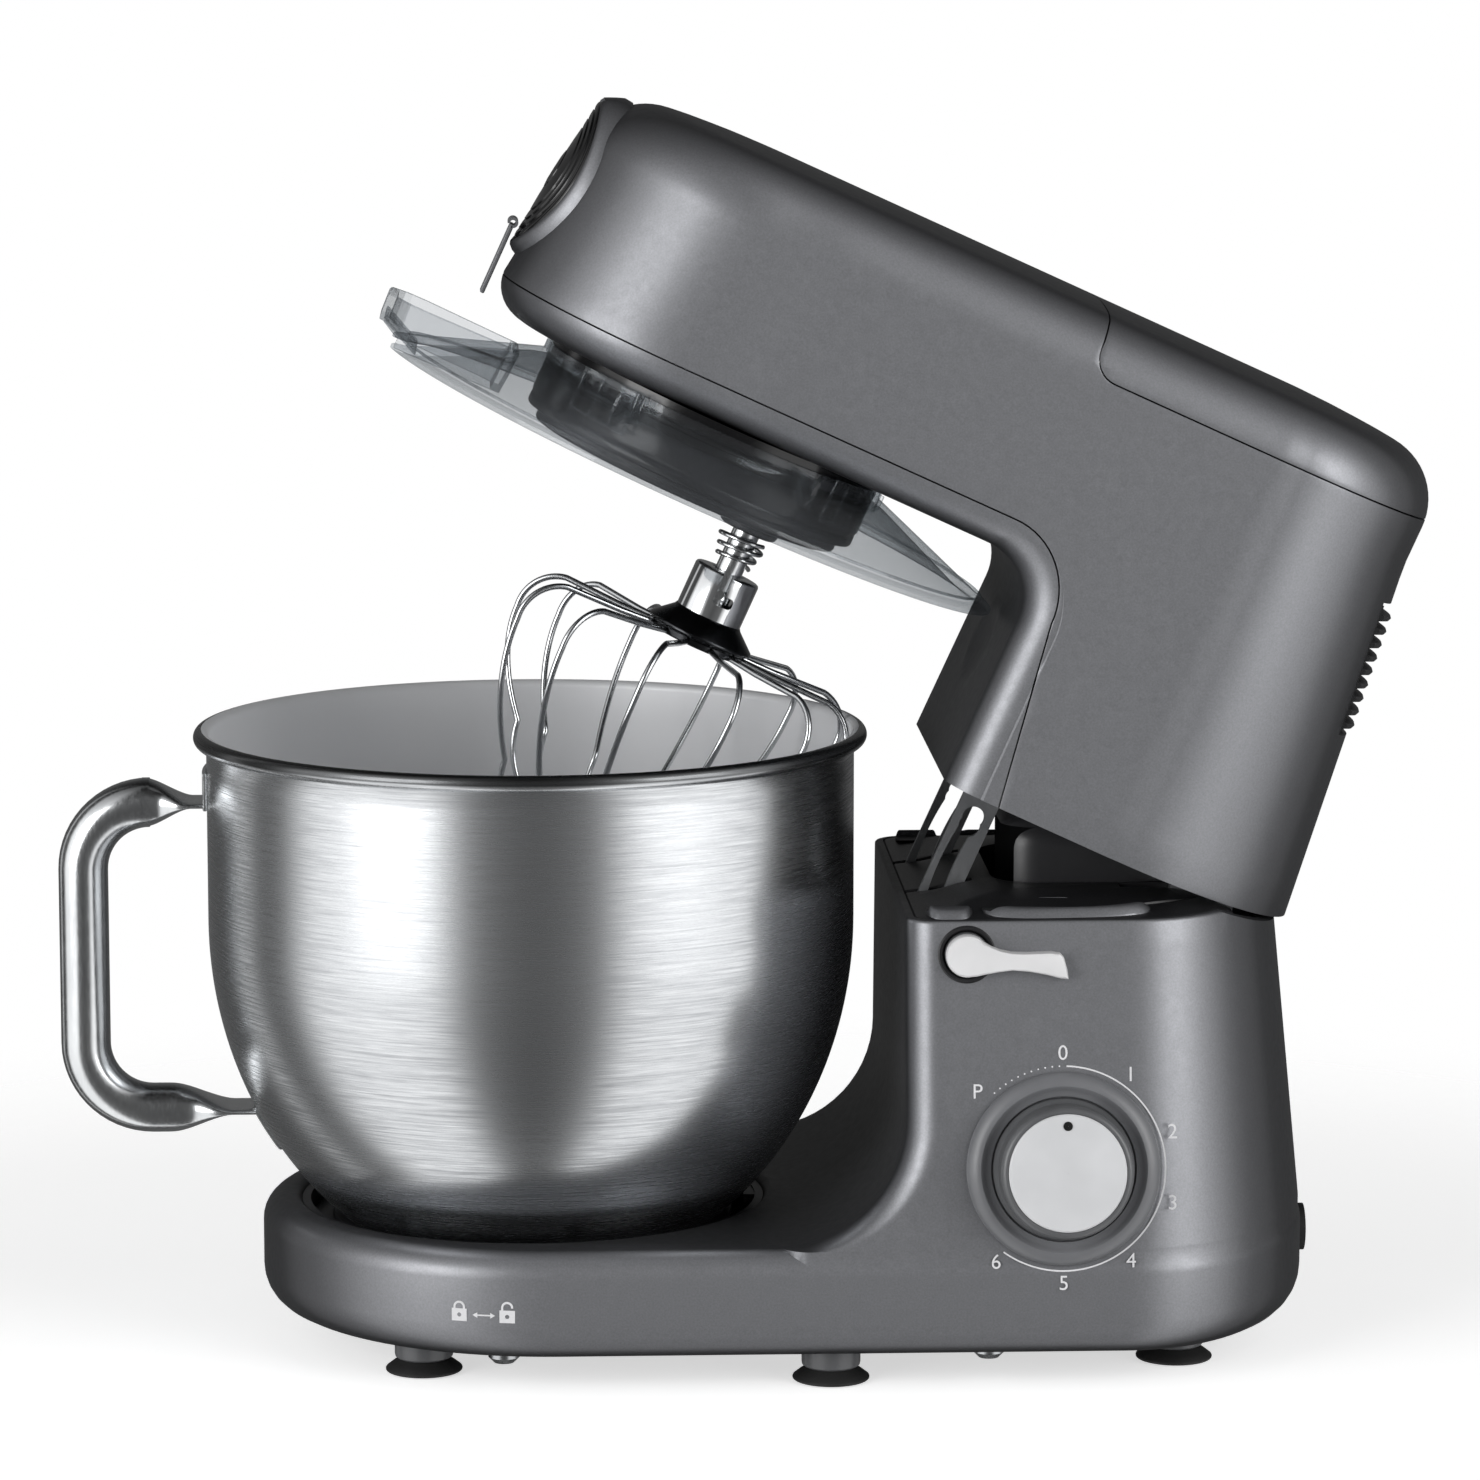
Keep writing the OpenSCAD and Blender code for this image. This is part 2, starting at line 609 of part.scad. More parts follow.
module head_loft() {
    loft(concat([[neck_bottom_z, head_outline(nose_x, 9, neck_rear_x, neck_hw, 0)],
        [head_bottom_z, head_outline(nose_x, 9, rear_wall_x(head_bottom_z), neck_hw - 4, 0)],
        [head_bottom_z + 3, head_outline(nose_x, 3, rear_wall_x(head_bottom_z + 3), neck_hw - 4.2, 0)],
        [head_bottom_z + 9, head_outline(nose_x, 0, rear_wall_x(head_bottom_z + 9), neck_hw - 4.5, 0)]],
        [for (a = [0, 25, 45, 65, 80]) head_top_level(a, 0, top_round)],
        [[head_top_z, head_outline(nose_x + 12, top_round + 22, rear_wall_x(neck_top_z + 30) - 4,
            neck_hw - 8,
            top_round + 22)]]));
}
module head_hollow_loft() {
    loft(concat([[neck_bottom_z - 1, head_outline(nose_x, wall + 3, neck_rear_x, neck_hw, wall)],
        [head_bottom_z + 4, head_outline(nose_x, wall + 3, rear_wall_x(head_bottom_z), neck_hw - 4, wall)],
        [head_bottom_z + 10, head_outline(nose_x, wall, rear_wall_x(head_bottom_z + 9), neck_hw - 4.5,
            wall)]],
        [for (a = [0, 45, 75]) head_top_level(a, wall, top_round - wall)]));
}
// Room in front of the neck and below the head, grown by d.
module under_head(d) {
    cx = neck_front_x - concave_r;
    cz = head_bottom_z - concave_r;
    side_prism(concat([[-big, neck_bottom_z - 5], [-big, head_bottom_z + d]],
        arc(cx, cz, concave_r + d, concave_r + d, 90, 0, 8), [[neck_front_x + d, neck_bottom_z - 5]]), big);
    translate([0, 0, neck_bottom_z - 5]) linear_extrude(head_bottom_z + d - neck_bottom_z + 5)
        mirrored_y() difference() {
        translate([-big, neck_hw + 0.5 - neck_corner_r]) square([big + neck_front_x + neck_corner_r, big]);
        translate([neck_front_x + neck_corner_r, neck_hw + 0.5 - neck_corner_r])
            circle(r = neck_corner_r - d, $fn = 48);
    }
}
module head_solid() { difference() { head_loft(); under_head(0); } }
module head_hollow() { difference() { head_hollow_loft(); under_head(wall); } }
module head_shell() {
    difference() {
        head_solid();
        head_hollow();
    }
}

seam_points = concat([[-big, seam_z]], arc(neck_front_x - 16, seam_z - 28, 26, 28, 90, 0, 8),
    [[neck_front_x + 20, neck_bottom_z - 5], [-big, neck_bottom_z - 5]]);
cover_points = concat([[cover_x, big]], arc(cover_x + 10, cover_z + 10, 10, 10, 180, 270, 4),
    [[big, cover_z], [big, big]]);
spindle_hole_r = 20;

// The round opening in the nose, square to its raked front.
nose_rake = 8.2;
nose_plan_r = head_hw;
module at_hub() { translate([nose_x + 4, 0, hub_z]) rotate([0, -90 + nose_rake, 0]) children(); }
hub_hole_r = hub_cover_r + 1.5;

module head_upper_shell() color("#5c5d60") raised() difference() {
    head_shell();
    side_prism(seam_points, big);
    side_prism(cover_points, big);
    at_hub() translate([0, 0, -20]) cylinder(r = hub_hole_r, h = 60);
    louvre_window(0.15, louvre_w + 0.15);
}
module head_lower_shell() color("#5c5d60") raised() difference() {
    intersection() {
        head_shell();
        side_prism(seam_points, big);
    }
    translate([0, 0, head_bottom_z - 5]) cylinder(r = spindle_hole_r, h = 20);
}
module rear_cover() color("#5c5d60") raised() intersection() {
    head_shell();
    side_prism(cover_points, big);
}

louvres = 9;
louvre_w = 70;
function louvre_z(i) = 237 + 5 * i;
louvre_window_z = [louvre_z(0) - 2.5, louvre_z(louvres - 1) + 4];
module louvre_window(gap, w) {
    translate([neck_tail_x + 40, -louvre_w / 2 - gap, louvre_window_z[0] - gap])
        cube([60, w + gap, louvre_window_z[1] - louvre_window_z[0] + 2 * gap]);
}
module vent_louvres() color("#2a2a2c") raised() {
    intersection() {
        head_shell();
        mirrored_y() louvre_window(0, 2.5);
    }
    for (i = [0:louvres - 1]) intersection() {
        translate([rear_wall_x(louvre_z(i)) - 18, 0.3 - louvre_w / 2, louvre_z(i) - 1.2]) cube([30,
            louvre_w - 0.6, 2]);
        linear_extrude(big) difference() {
            flat_front_plan(neck_front_x, neck_hw, neck_corner_r, neck_tail_x,
                rear_wall_x(louvre_z(i)) + 1.8, 0);
            flat_front_plan(neck_front_x, neck_hw, neck_corner_r, neck_tail_x,
                rear_wall_x(louvre_z(i)) - 3, 4);
        }
    }
}

// Curved skin of the nose between two distances from the round front, inside a circle of radius r.
module nose_skin(r, out_d, in_d) {
    intersection() {
        at_hub() translate([0, 0, -40]) cylinder(r = r, h = 70);
        translate([nose_x + nose_plan_r, 0, hub_z]) rotate([0, nose_rake, 0]) difference() {
            cylinder(r = nose_plan_r + out_d, h = 90, center = true);
            cylinder(r = nose_plan_r + in_d, h = 100, center = true);
            translate([0, -big / 2, -big / 2]) cube(big);
        }
    }
}
module nose_ring() color("#5c5d60") raised() difference() {
    nose_skin(hub_hole_r, -2, -6 - wall);
    at_hub() translate([0, 0, -60]) cylinder(r = hub_cover_r - 5, h = 100);
    nose_skin(hub_cover_r + run, 5, -4.5);
    hub_pin(3.4, 2 * hub_pin_hw + 8);
}
hub_pin_hw = 9;
module hub_pin(r, w) { at_hub() translate([hub_cover_r - 0.5, 0, 0.6]) rotate([90, 0, 0]) cylinder(r = r,
    h = w, center = true); }
module hub_cover() color("#161617") raised() {
    difference() {
        nose_skin(hub_cover_r, -2, -4.2);
        hub_pin(2.4, 2 * hub_pin_hw + 0.8);
    }
    hub_pin(2, 2 * hub_pin_hw);
}
tab_w = 12;
tab_t = 1.6;
tab_len = 27;
module hub_cover_tab() color("#8c8d90") raised() {
    x = nose_x - 4.2;
    loop_r = 1.9;
    translate([x - tab_t / 2, -tab_w / 2, hub_z - 50]) cube([tab_t, tab_w, tab_len]);
    cross_pin(x, 0, hub_z - 50 + tab_len, loop_r, tab_w);
}

// ---- Chassis, hinge arms and lock arms ----

frame_z = 196;
frame_t = 6;
chassis_hw = neck_hw - 26;
gear_floor_z = head_bottom_z + wall;
shelf_z = gear_floor_z + 5;
bearing_r = 11;
module head_chassis() color("#a7a9ac") raised() difference() {
    union() {
        translate([neck_front_x + 6, -chassis_hw, frame_z]) cube([98, 2 * chassis_hw, frame_t]);
        translate([neck_front_x + 6, -34, frame_z]) cube([116, 68, frame_t]);
        translate([neck_front_x + 6, -30, frame_z]) cube([4, 60, shelf_z + 5 - frame_z]);
        translate([gearbox_rear_x + run, -30, shelf_z]) cube([neck_front_x + 10 - gearbox_rear_x - run,
            60, 5]);
    }
    translate([motor_x, 0, frame_z - 1]) cylinder(r = bearing_r, h = 20);
}
arm_hub_r = 14;
module hinge_arms() color("#a7a9ac") raised() mirrored_y() difference() {
    union() {
        cross_pin(hinge_x, arm_plate_y + arm_plate_t / 2, hinge_z, arm_hub_r, arm_plate_t);
        translate([0, arm_plate_y + arm_plate_t / 2, 0])
            side_prism([[hinge_x - arm_hub_r, hinge_z], [hinge_x - 30, frame_z], [hinge_x - 8, frame_z],
                [hinge_x + 10, hinge_z + 4]], arm_plate_t);
    }
    cross_pin(hinge_x, arm_plate_y, hinge_z, bush_r, 30);
}
bush_r = hinge_shaft_r + 3;
module hinge_bushes() color("#b08d4a") raised() mirrored_y() difference() {
    cross_pin(hinge_x, arm_plate_y + arm_plate_t / 2, hinge_z, bush_r, arm_plate_t);
    cross_pin(hinge_x, arm_plate_y, hinge_z, hinge_shaft_r + bearing_gap, 30);
}

// Both bays of the slot lie on the arc that the lock rod follows round the hinge.
bay_r = 3.9;
slot_hw = 2.65;
rod_angle = atan2(lock_rod_z - hinge_z, lock_rod_x - hinge_x);
bay_drop = 3.2;
module lock_arms() color("#a7a9ac") raised() mirrored_y() translate([0, lock_arm_y, 0]) rotate([90, 0, 0])
    linear_extrude(arm_t, center = true) difference() {
        intersection() {
            union() {
                translate([lock_rod_x - arm_w / 2, lower_bay[1] - 2]) square([arm_w,
                    frame_z - lower_bay[1] + 2]);
                translate([lock_rod_x, lower_bay[1] - 2]) circle(r = arm_w / 2);
            }
            union() {
                translate([hinge_x, hinge_z]) circle(r = slot_r + bay_r + 1.9);
                translate([0, hinge_z]) square(big);
            }
        }
        polygon(concat(arc(hinge_x, hinge_z, slot_r + slot_hw, slot_r + slot_hw, rod_angle,
            rod_angle + head_raise, 16),
            arc(hinge_x, hinge_z, slot_r - slot_hw, slot_r - slot_hw, rod_angle + head_raise, rod_angle,
                16)));
        translate([lock_rod_x, lock_rod_z]) circle(r = bay_r);
        translate([lock_rod_x, lock_rod_z - bay_drop]) circle(r = bay_r);
        translate(lower_bay) circle(r = bay_r);
        translate(lower_bay - [0, bay_drop]) circle(r = bay_r);
    }
lower_bay = [hinge_x, hinge_z] + slot_r * [cos(rod_angle + head_raise), sin(rod_angle + head_raise)];

// ---- Motor and belt ----

stator_z = 228;
top_frame_z = 292;
pulley_z = 303;
stud_r = 3.5;
stud_at = stator_w / 2 - 8;
rotor_gap = 0.6;
module at_studs() { for (x = [-1, 1], y = [-1, 1]) translate([motor_x + x * stud_at, y * stud_at,
    0]) children(); }
module motor_stator() color("#7d7f83") raised() difference() {
    intersection() {
        translate([motor_x - stator_w / 2, -stator_w / 2, stator_z]) cube([stator_w, stator_w, stator_h]);
        translate([motor_x, 0, stator_z]) cylinder(r = stator_w * 0.6, h = stator_h);
    }
    translate([motor_x, 0, stator_z - 1]) cylinder(r = rotor_r + rotor_gap, h = stator_h + 2);
    coil_legs(0.3, stator_z - 1, stator_h + 2);
    at_studs() translate([0, 0, stator_z - 1]) cylinder(r = stud_r, h = stator_h + 2);
}
module coil_legs(gap, z, h) {
    for (m = [0, 180]) translate([motor_x, 0, z]) for (s = [-50, 50])
        wedge(rotor_r + 12 + gap, rotor_r + 3 - gap, h, 22 + 2 * gap, m + s);
}
coil_end_h = 8;
module motor_coils() color("#b5622c") raised() {
    coil_legs(0, stator_z - coil_end_h, stator_h + 2 * coil_end_h);
    for (m = [0, 180], z = [stator_z - coil_end_h + 0.4, stator_z + stator_h + 0.8])
        translate([motor_x, 0, z]) wedge(rotor_r + 11, rotor_r + 4, coil_end_h - 1.2, 96, m);
}
module motor_posts() color("#b9bcc0") raised() at_studs() {
    translate([0, 0, frame_z + frame_t]) cylinder(r = stud_r + 2, h = stator_z - frame_z - frame_t);
    translate([0, 0, stator_z]) cylinder(r = stud_r, h = stator_h);
    translate([0, 0, stator_z + stator_h]) cylinder(r = stud_r + 2, h = top_frame_z - stator_z - stator_h);
}
module motor_top_frame() color("#a7a9ac") raised() difference() {
    translate([motor_x - stator_w / 2, -stator_w / 2, top_frame_z]) cube([stator_w, stator_w, frame_t]);
    translate([motor_x, 0, top_frame_z - 1]) cylinder(r = bearing_r, h = 20);
}
commutator_r = 11;
commutator_z = 277;
module brush_holders() color("#6b4a2a") raised() mirrored_y() difference() {
    translate([motor_x - 5, commutator_r + 0.4, commutator_z + 2]) cube([10, 22,
        top_frame_z - commutator_z - 2]);
    translate([motor_x, 20, commutator_z + 7]) rotate([-90, 0, 0]) cylinder(r = 1.5, h = 20);
}
module motor_rotor() color("#8a8c90") raised() translate([motor_x, 0, 0]) {
    translate([0, 0, frame_z - 1.5]) cylinder(r = motor_shaft_r, h = pulley_z + belt_w + 4 - frame_z + 1.5);
    translate([0, 0, stator_z]) cylinder(r = rotor_r, h = stator_h);
    translate([0, 0, stator_z - 7]) cylinder(r = rotor_r - 5, h = stator_h + 14);
    translate([0, 0, commutator_z]) cylinder(r = commutator_r, h = 12);
}
fan_r = 34;
fan_z = frame_z + frame_t + 2;
blades = 12;
module cooling_fan() color("#303133") raised() translate([motor_x, 0, fan_z]) {
    ring(fan_r, motor_shaft_r, 2);
    ring(10, motor_shaft_r, 12);
    for (i = [0:blades - 1]) rotate([0, 0, i * 360 / blades]) translate([9.5, -0.8,
        1.9]) cube([fan_r - 10.5, 1.6, 9]);
}
module grooved_pulley(r, bore) {
    difference() {
        union() {
            cylinder(r = r, h = belt_w);
            translate([0, 0, -1.5]) cylinder(r = r + 2.5, h = 1.5);
            translate([0, 0, belt_w]) cylinder(r = r + 2.5, h = 1.5);
        }
        translate([0, 0, -3]) cylinder(r = bore, h = belt_w + 6);
    }
}
module motor_pulley() color("#8d8e91") raised() translate([motor_x, 0,
    pulley_z]) grooved_pulley(pulley_small_r, motor_shaft_r);

belt_t = 2;
belt_gap = 0.25;
pinion_x = (main_teeth + pinion_teeth) * gear_module / 2;
module belt_loop(extra) {
    hull() {
        translate([pinion_x, 0]) circle(r = pulley_large_r + extra, $fn = 60);
        translate([motor_x, 0]) circle(r = pulley_small_r + extra, $fn = 32);
    }
}
module drive_belt() color("#1b1b1c") raised() translate([0, 0, pulley_z + run]) difference() {
    linear_extrude(belt_w - 2 * run) belt_loop(belt_gap + belt_t);
    translate([0, 0, -1]) linear_extrude(belt_w + 2) belt_loop(belt_gap);
}

// ---- Gearbox ----

gearbox_h = 44;
gearbox_r = main_teeth * gear_module / 2 + 8;
gearbox_side_r = 18;
gearbox_rear_x = pinion_x + gearbox_side_r;
pinion_shaft_r = 5;
gear_z = gear_floor_z + 14;
gear_h = 9;
lid_t = 5;
module gearbox_plan(d) {
    circle(r = gearbox_r - d);
    translate([pinion_x, 0]) circle(r = gearbox_side_r - d);
    translate([0, d - gearbox_side_r]) square([pinion_x, 2 * (gearbox_side_r - d)]);
}
module gearbox_housing() color("#9b9da0") raised() {
    difference() {
        translate([0, 0, gear_floor_z]) linear_extrude(gearbox_h) gearbox_plan(0);
        translate([0, 0, gear_floor_z + 7]) linear_extrude(gearbox_h) gearbox_plan(wall + 0.5);
        translate([0, 0, gear_floor_z - 1]) cylinder(r = spindle_r + 5, h = 20);
        translate([pinion_x, 0, gear_floor_z - 1]) cylinder(r = pinion_shaft_r + 4, h = 20);
    }
    translate([gearbox_rear_x - 6, -15, gear_floor_z]) cube([14, 30, shelf_z - gear_floor_z]);
}
module gearbox_lid() color("#9b9da0") raised() difference() {
    translate([0, 0, gear_floor_z + gearbox_h]) linear_extrude(lid_t) gearbox_plan(0);
    translate([0, 0, gear_floor_z + gearbox_h - 1]) cylinder(r = spindle_r + 5, h = 20);
    translate([pinion_x, 0, gear_floor_z + gearbox_h - 1]) cylinder(r = pinion_shaft_r + 4, h = 20);
}
module bearing_ring(r_in, h, r_out) { ring(r_out, r_in + bearing_gap, h); }
module shaft_bearings() color("#c9ccd0") raised() {
    for (z = [[gear_floor_z, 7], [gear_floor_z + gearbox_h, lid_t]]) {
        translate([0, 0, z[0]]) bearing_ring(spindle_r, z[1], spindle_r + 5);
        translate([pinion_x, 0, z[0]]) bearing_ring(pinion_shaft_r, z[1], pinion_shaft_r + 4);
    }
    for (z = [frame_z, top_frame_z])
        translate([motor_x, 0, z]) bearing_ring(motor_shaft_r, frame_t, bearing_r);
}
module drive_pulley() color("#8d8e91") raised() translate([pinion_x, 0, pulley_z]) difference() {
    grooved_pulley(pulley_large_r, pinion_shaft_r);
    for (i = [0:4]) rotate([0, 0, i * 72 + 36]) translate([pulley_large_r * 0.6, 0, -5])
        cylinder(r = pulley_large_r * 0.18, h = belt_w + 10);
}
module drive_pinion() color("#b9bcc0") raised() translate([pinion_x, 0, 0]) {
    translate([0, 0, gear_floor_z + 0.5]) cylinder(r = pinion_shaft_r,
        h = pulley_z + belt_w + 2 - gear_floor_z);
    translate([0, 0, gear_z - 1]) gear_disc(pinion_teeth, gear_h + 2);
}
module main_gear() color("#cfc6a8") raised() translate([0, 0, gear_z]) difference() {
    gear_disc(main_teeth, gear_h);
    translate([0, 0, -1]) cylinder(r = spindle_r, h = gear_h + 2);
    for (i = [0:5]) rotate([0, 0, i * 60 + 30]) translate([21, 0, -1]) cylinder(r = 6, h = gear_h + 2);
}

// ---- Planetary tool drive ----

orbit_r = (ring_teeth - planet_teeth) * gear_module / 2;
carrier_t = 10;
planet_z = carrier_z + carrier_t + 3;
planet_h = 9;
ring_gear_r = ring_teeth * gear_module / 2 + 8;
module main_spindle() color("#b9bcc0") raised()
    translate([0, 0, carrier_z + carrier_t]) cylinder(r = spindle_r,
        h = gear_floor_z + gearbox_h + lid_t + 2 - carrier_z - carrier_t);
module planet_carrier() color("#2f3032") raised() difference() {
    union() {
        translate([0, 0, carrier_z]) cylinder(r = carrier_r, h = carrier_t);
        translate([orbit_r, 0, carrier_z - 6]) cylinder(r = tool_shaft_r + 6, h = 7);
    }
    translate([orbit_r, 0, carrier_z - 10]) cylinder(r = tool_shaft_r + bearing_gap, h = 40);
}
module planet_housing() color("#232325") raised() difference() {
    translate([0, 0, carrier_z + 4]) cylinder(r = planet_housing_r, h = head_bottom_z - carrier_z - 4);
    translate([0, 0, carrier_z]) cylinder(r = carrier_r + 1.5, h = carrier_t + 2);
    translate([0, 0, carrier_z]) cylinder(r = ring_gear_r, h = planet_z + planet_h + 1 - carrier_z);
    translate([0, 0, carrier_z]) cylinder(r = spindle_r + 2, h = 60);
}
module ring_gear() color("#b9bcc0") raised() translate([0, 0, planet_z]) difference() {
    cylinder(r = ring_gear_r, h = planet_h + 1);
    pitch = ring_teeth * gear_module / 2;
    translate([0, 0, -1]) linear_extrude(planet_h + 3)
        polygon(gear_points(ring_teeth, pitch + 1.1 * gear_module, pitch - 0.75 * gear_module,
            0.9 * gear_module));
}
module planet_gear() color("#cfc6a8") raised() translate([orbit_r, 0, planet_z]) difference() {
    gear_disc(planet_teeth, planet_h);
    translate([0, 0, -1]) cylinder(r = tool_shaft_r, h = planet_h + 2);
}
pin_z = whisk_top_z - 8;
shaft_end_z = whisk_top_z - 14;
cross_pin_r = 1.6;
module tool_shaft() color("#d5d7da") raised() translate([orbit_r, 0, 0]) {
    translate([0, 0, shaft_end_z]) cylinder(r = tool_shaft_r, h = planet_z + planet_h - shaft_end_z);
    cross_pin(0, 0, pin_z, cross_pin_r, 2 * tool_shaft_r + 5);
}
module tool_spring() color("#c4c6c9") raised() translate([orbit_r, 0, whisk_top_z + 1.2])
    wire(helix(tool_shaft_r + 1.2, tool_shaft_r + 3.4, carrier_z - 6 - whisk_top_z - 2.4, 4), 0.8);

// ---- Splash guard ----

guard_collar_r = planet_housing_r + 0.3;
guard_top_z = head_bottom_z - 6;
chute_out_x = -guard_r - 5.5;
chute_in_x = -guard_collar_r - 9;
chute_top_z = guard_z + 19;
function cone_z(r) = guard_z + guard_t + (guard_top_z - guard_z - guard_t) * (guard_r - r)
    / (guard_r - guard_collar_r);
function chute_plan(d) = [[chute_out_x + d, -26 + d], [chute_out_x + d, 26 - d], [chute_in_x - d,
    17 - d], [chute_in_x - d, -17 + d]];
module guard_profile() polygon([[guard_collar_r, guard_top_z - guard_t], [guard_collar_r, guard_top_z + 3],
    [guard_collar_r + guard_t, guard_top_z + 3], [guard_collar_r + guard_t, guard_top_z], [guard_r,
        guard_z + guard_t],
    [guard_r, guard_z], [guard_r - 4, guard_z]]);
chute_drop_x = 9 - guard_r;
module splash_guard() color("#dfe3e6", 0.45) raised() {
    difference() {
        union() {
            rotate_extrude() guard_profile();
            translate([0, 0, guard_z]) linear_extrude(chute_top_z - guard_z) polygon(chute_plan(0));
        }
        translate([0, 0, guard_z - 20]) linear_extrude(60) polygon(chute_plan(guard_t));
    }
    // Floor of the chute, over the bowl's rim
    side_prism([[chute_out_x + guard_t - 0.1, chute_top_z - 7], [chute_out_x + guard_t - 0.1,
        chute_top_z - 9],
        [chute_drop_x, guard_z + 1], [chute_drop_x, guard_z + 2.6]], 2 * (25.5 - guard_t));
}

// ---- Whisk ----

hub_h = 17.5;
hub_r = 12.15;
cone_r = 19.6;
hub_bottom_z = whisk_top_z - hub_h - 8;
module whisk_hub() color("#c9cbce") raised() translate([orbit_r, 0, 0]) difference() {
    rotate_extrude() polygon([[0, hub_bottom_z], [cone_r - 1, hub_bottom_z], [cone_r, hub_bottom_z + 1.5],
        [hub_r, hub_bottom_z + 8], [hub_r, whisk_top_z - 0.8], [hub_r - 0.8, whisk_top_z], [0,
            whisk_top_z]]);
    translate([0, 0, shaft_end_z - 1]) cylinder(r = tool_shaft_r + 0.2, h = 40);
    translate([-cross_pin_r - 0.3, -hub_r - 1, pin_z - cross_pin_r - 0.4]) cube([2 * cross_pin_r + 0.6,
        2 * hub_r + 2, 20]);
}
shoulder_r = 15;
wire_r = wire_d / 2;
loop_top_z = hub_bottom_z - wire_r;
wire_start = 9;
// One half of a loop: out from the hub, over the shoulder, down, and round to the bottom.
function loop_half(low) = concat(
    [for (x = [wire_start, 15, 30]) [x, loop_top_z - (x > 20 ? 0.5 : 0)]],
    arc(whisk_r - wire_r - shoulder_r, loop_top_z - shoulder_r, shoulder_r, shoulder_r, 80, -8, 7),
    [[whisk_r - 8, (loop_top_z + low) / 2 - 4]],
    arc(0, low + whisk_r * 0.62, whisk_r * 0.79, whisk_r * 0.62, -4, -86, 8));
module whisk_wires() color("#d5d7da") raised() translate([orbit_r, 0, 0])
    for (i = [0:loops - 1]) rotate([0, 0, (i + 0.5) * 180 / loops]) {
        half = loop_half(whisk_bottom_z + wire_r + i * (wire_d + 0.1));
        n = len(half);
        wire(concat([for (p = half) [p[0], 0, p[1]]], [for (k = [n - 1:-1:0]) [-half[k][0], 0,
            half[k][1]]]), wire_r,
            [0, 1, 0], 5);
    }

// ---- Bowl ----

function belly_r(z, a, b) = a * sqrt(max(0, 1 - pow((belly_z - z) / b, 2)));
bowl_steps = 16;
function bowl_side(t) = [for (i = [0:bowl_steps]) let (z = bowl_bottom_z + t +
    (belly_z - bowl_bottom_z - t) * i / bowl_steps)
    [belly_r(z, bowl_r - t, belly_h - t), z]];
bead_r = (rim_r - bowl_r + bowl_t) / 2;
module bowl() color("#b4b6b9") rotate_extrude() difference() {
    union() {
        polygon(concat([[0, bowl_bottom_z]], bowl_side(0), [[bowl_r, rim_z - bead_r], [0, rim_z - bead_r]]));
        translate([rim_r - bead_r, rim_z - bead_r]) circle(r = bead_r, $fn = 24);
    }
    polygon(concat([[-1, bowl_bottom_z + bowl_t]], bowl_side(bowl_t), [[bowl_r - bowl_t, rim_z + 5], [-1,
        rim_z + 5]]));
}
module bowl_foot() color("#232325") {
    rotate_extrude() difference() {
        translate([50, foot_ring_z]) square([foot_ring_r - 50, 7]);
        polygon(concat([[0, bowl_bottom_z]], bowl_side(0), [[0, belly_z]]));
    }
    for (i = [0:lug_count - 1]) translate([0, 0, foot_ring_z + 1])
        wedge(recess_r - 4, foot_ring_r - 1, 4.5, lug_angle, 180 + i * 360 / lug_count);
}
module bowl_wear_disc() color("#303133") translate([0, 0, recess_z]) ring(foot_ring_r - 2, 30,
    foot_ring_z - recess_z);

flange_t = 1.6;
flange_hw = 12;
handle_root_x = bowl_r + 14;
module tube_x(z, x0, x1) { translate([-x1, 0, z]) rotate([0, 90, 0]) cylinder(r = handle_r, h = x1 - x0); }
module handle_corner(z, turn) {
    translate([handle_bend_r - handle_x, 0, z - turn * handle_bend_r]) rotate([90, 0, 0])
        rotate([0, 0, turn > 0 ? 90 : 180]) rotate_extrude(angle = 90) translate([handle_bend_r,
            0]) circle(r = handle_r, $fn = 32);
}
module handle_tab(z, x_in) {
    hull() {
        translate([-handle_root_x, 0, z]) rotate([0, 90, 0]) cylinder(r = handle_r, h = 0.5, $fn = 32);
        translate([-handle_root_x + 9, -flange_hw, z - 1.5]) cube([1, 2 * flange_hw, 3]);
    }
    translate([-handle_root_x + 9, -flange_hw, z - 1.5]) cube([handle_root_x - 9 - x_in, 2 * flange_hw, 3]);
}
module bowl_handle() color("#c4c6c9") {
    difference() {
        union() {
            handle_corner(handle_top_z, 1);
            handle_corner(handle_low_z, -1);
            translate([-handle_x, 0, handle_low_z + handle_bend_r])
                cylinder(r = handle_r, h = handle_top_z - handle_low_z - 2 * handle_bend_r);
            tube_x(handle_top_z, handle_root_x, handle_x - handle_bend_r);
            tube_x(handle_low_z, handle_root_x, handle_x - handle_bend_r);
            handle_tab(handle_top_z, bowl_r - 4);
            handle_tab(handle_low_z, belly_r(handle_low_z, bowl_r, belly_h) - 6);
        }
        rotate_extrude() polygon(concat([[0, bowl_bottom_z]], bowl_side(0), [[bowl_r + 0.05, belly_z],
            [bowl_r + 0.05, rim_z], [0, rim_z]]));
    }
    handle_flange(handle_top_z - 1.5, handle_top_z + 12);
    handle_flange(handle_low_z - 14, handle_low_z + 1.5);
}
// Plate that follows the bowl's wall from z0 to z1.
module handle_flange(z0, z1) {
    a = 2 * asin(flange_hw / bowl_r);
    rotate([0, 0, 180 - a / 2]) rotate_extrude(angle = a) polygon(concat(
        [for (i = [0:6]) let (z = z0 + (z1 - z0) * i / 6) [wall_r(z) + 0.05, z]],
        [for (i = [6:-1:0]) let (z = z0 + (z1 - z0) * i / 6) [wall_r(z) + flange_t, z]]));
}
function wall_r(z) = z > belly_z ? bowl_r : belly_r(z, bowl_r, belly_h);

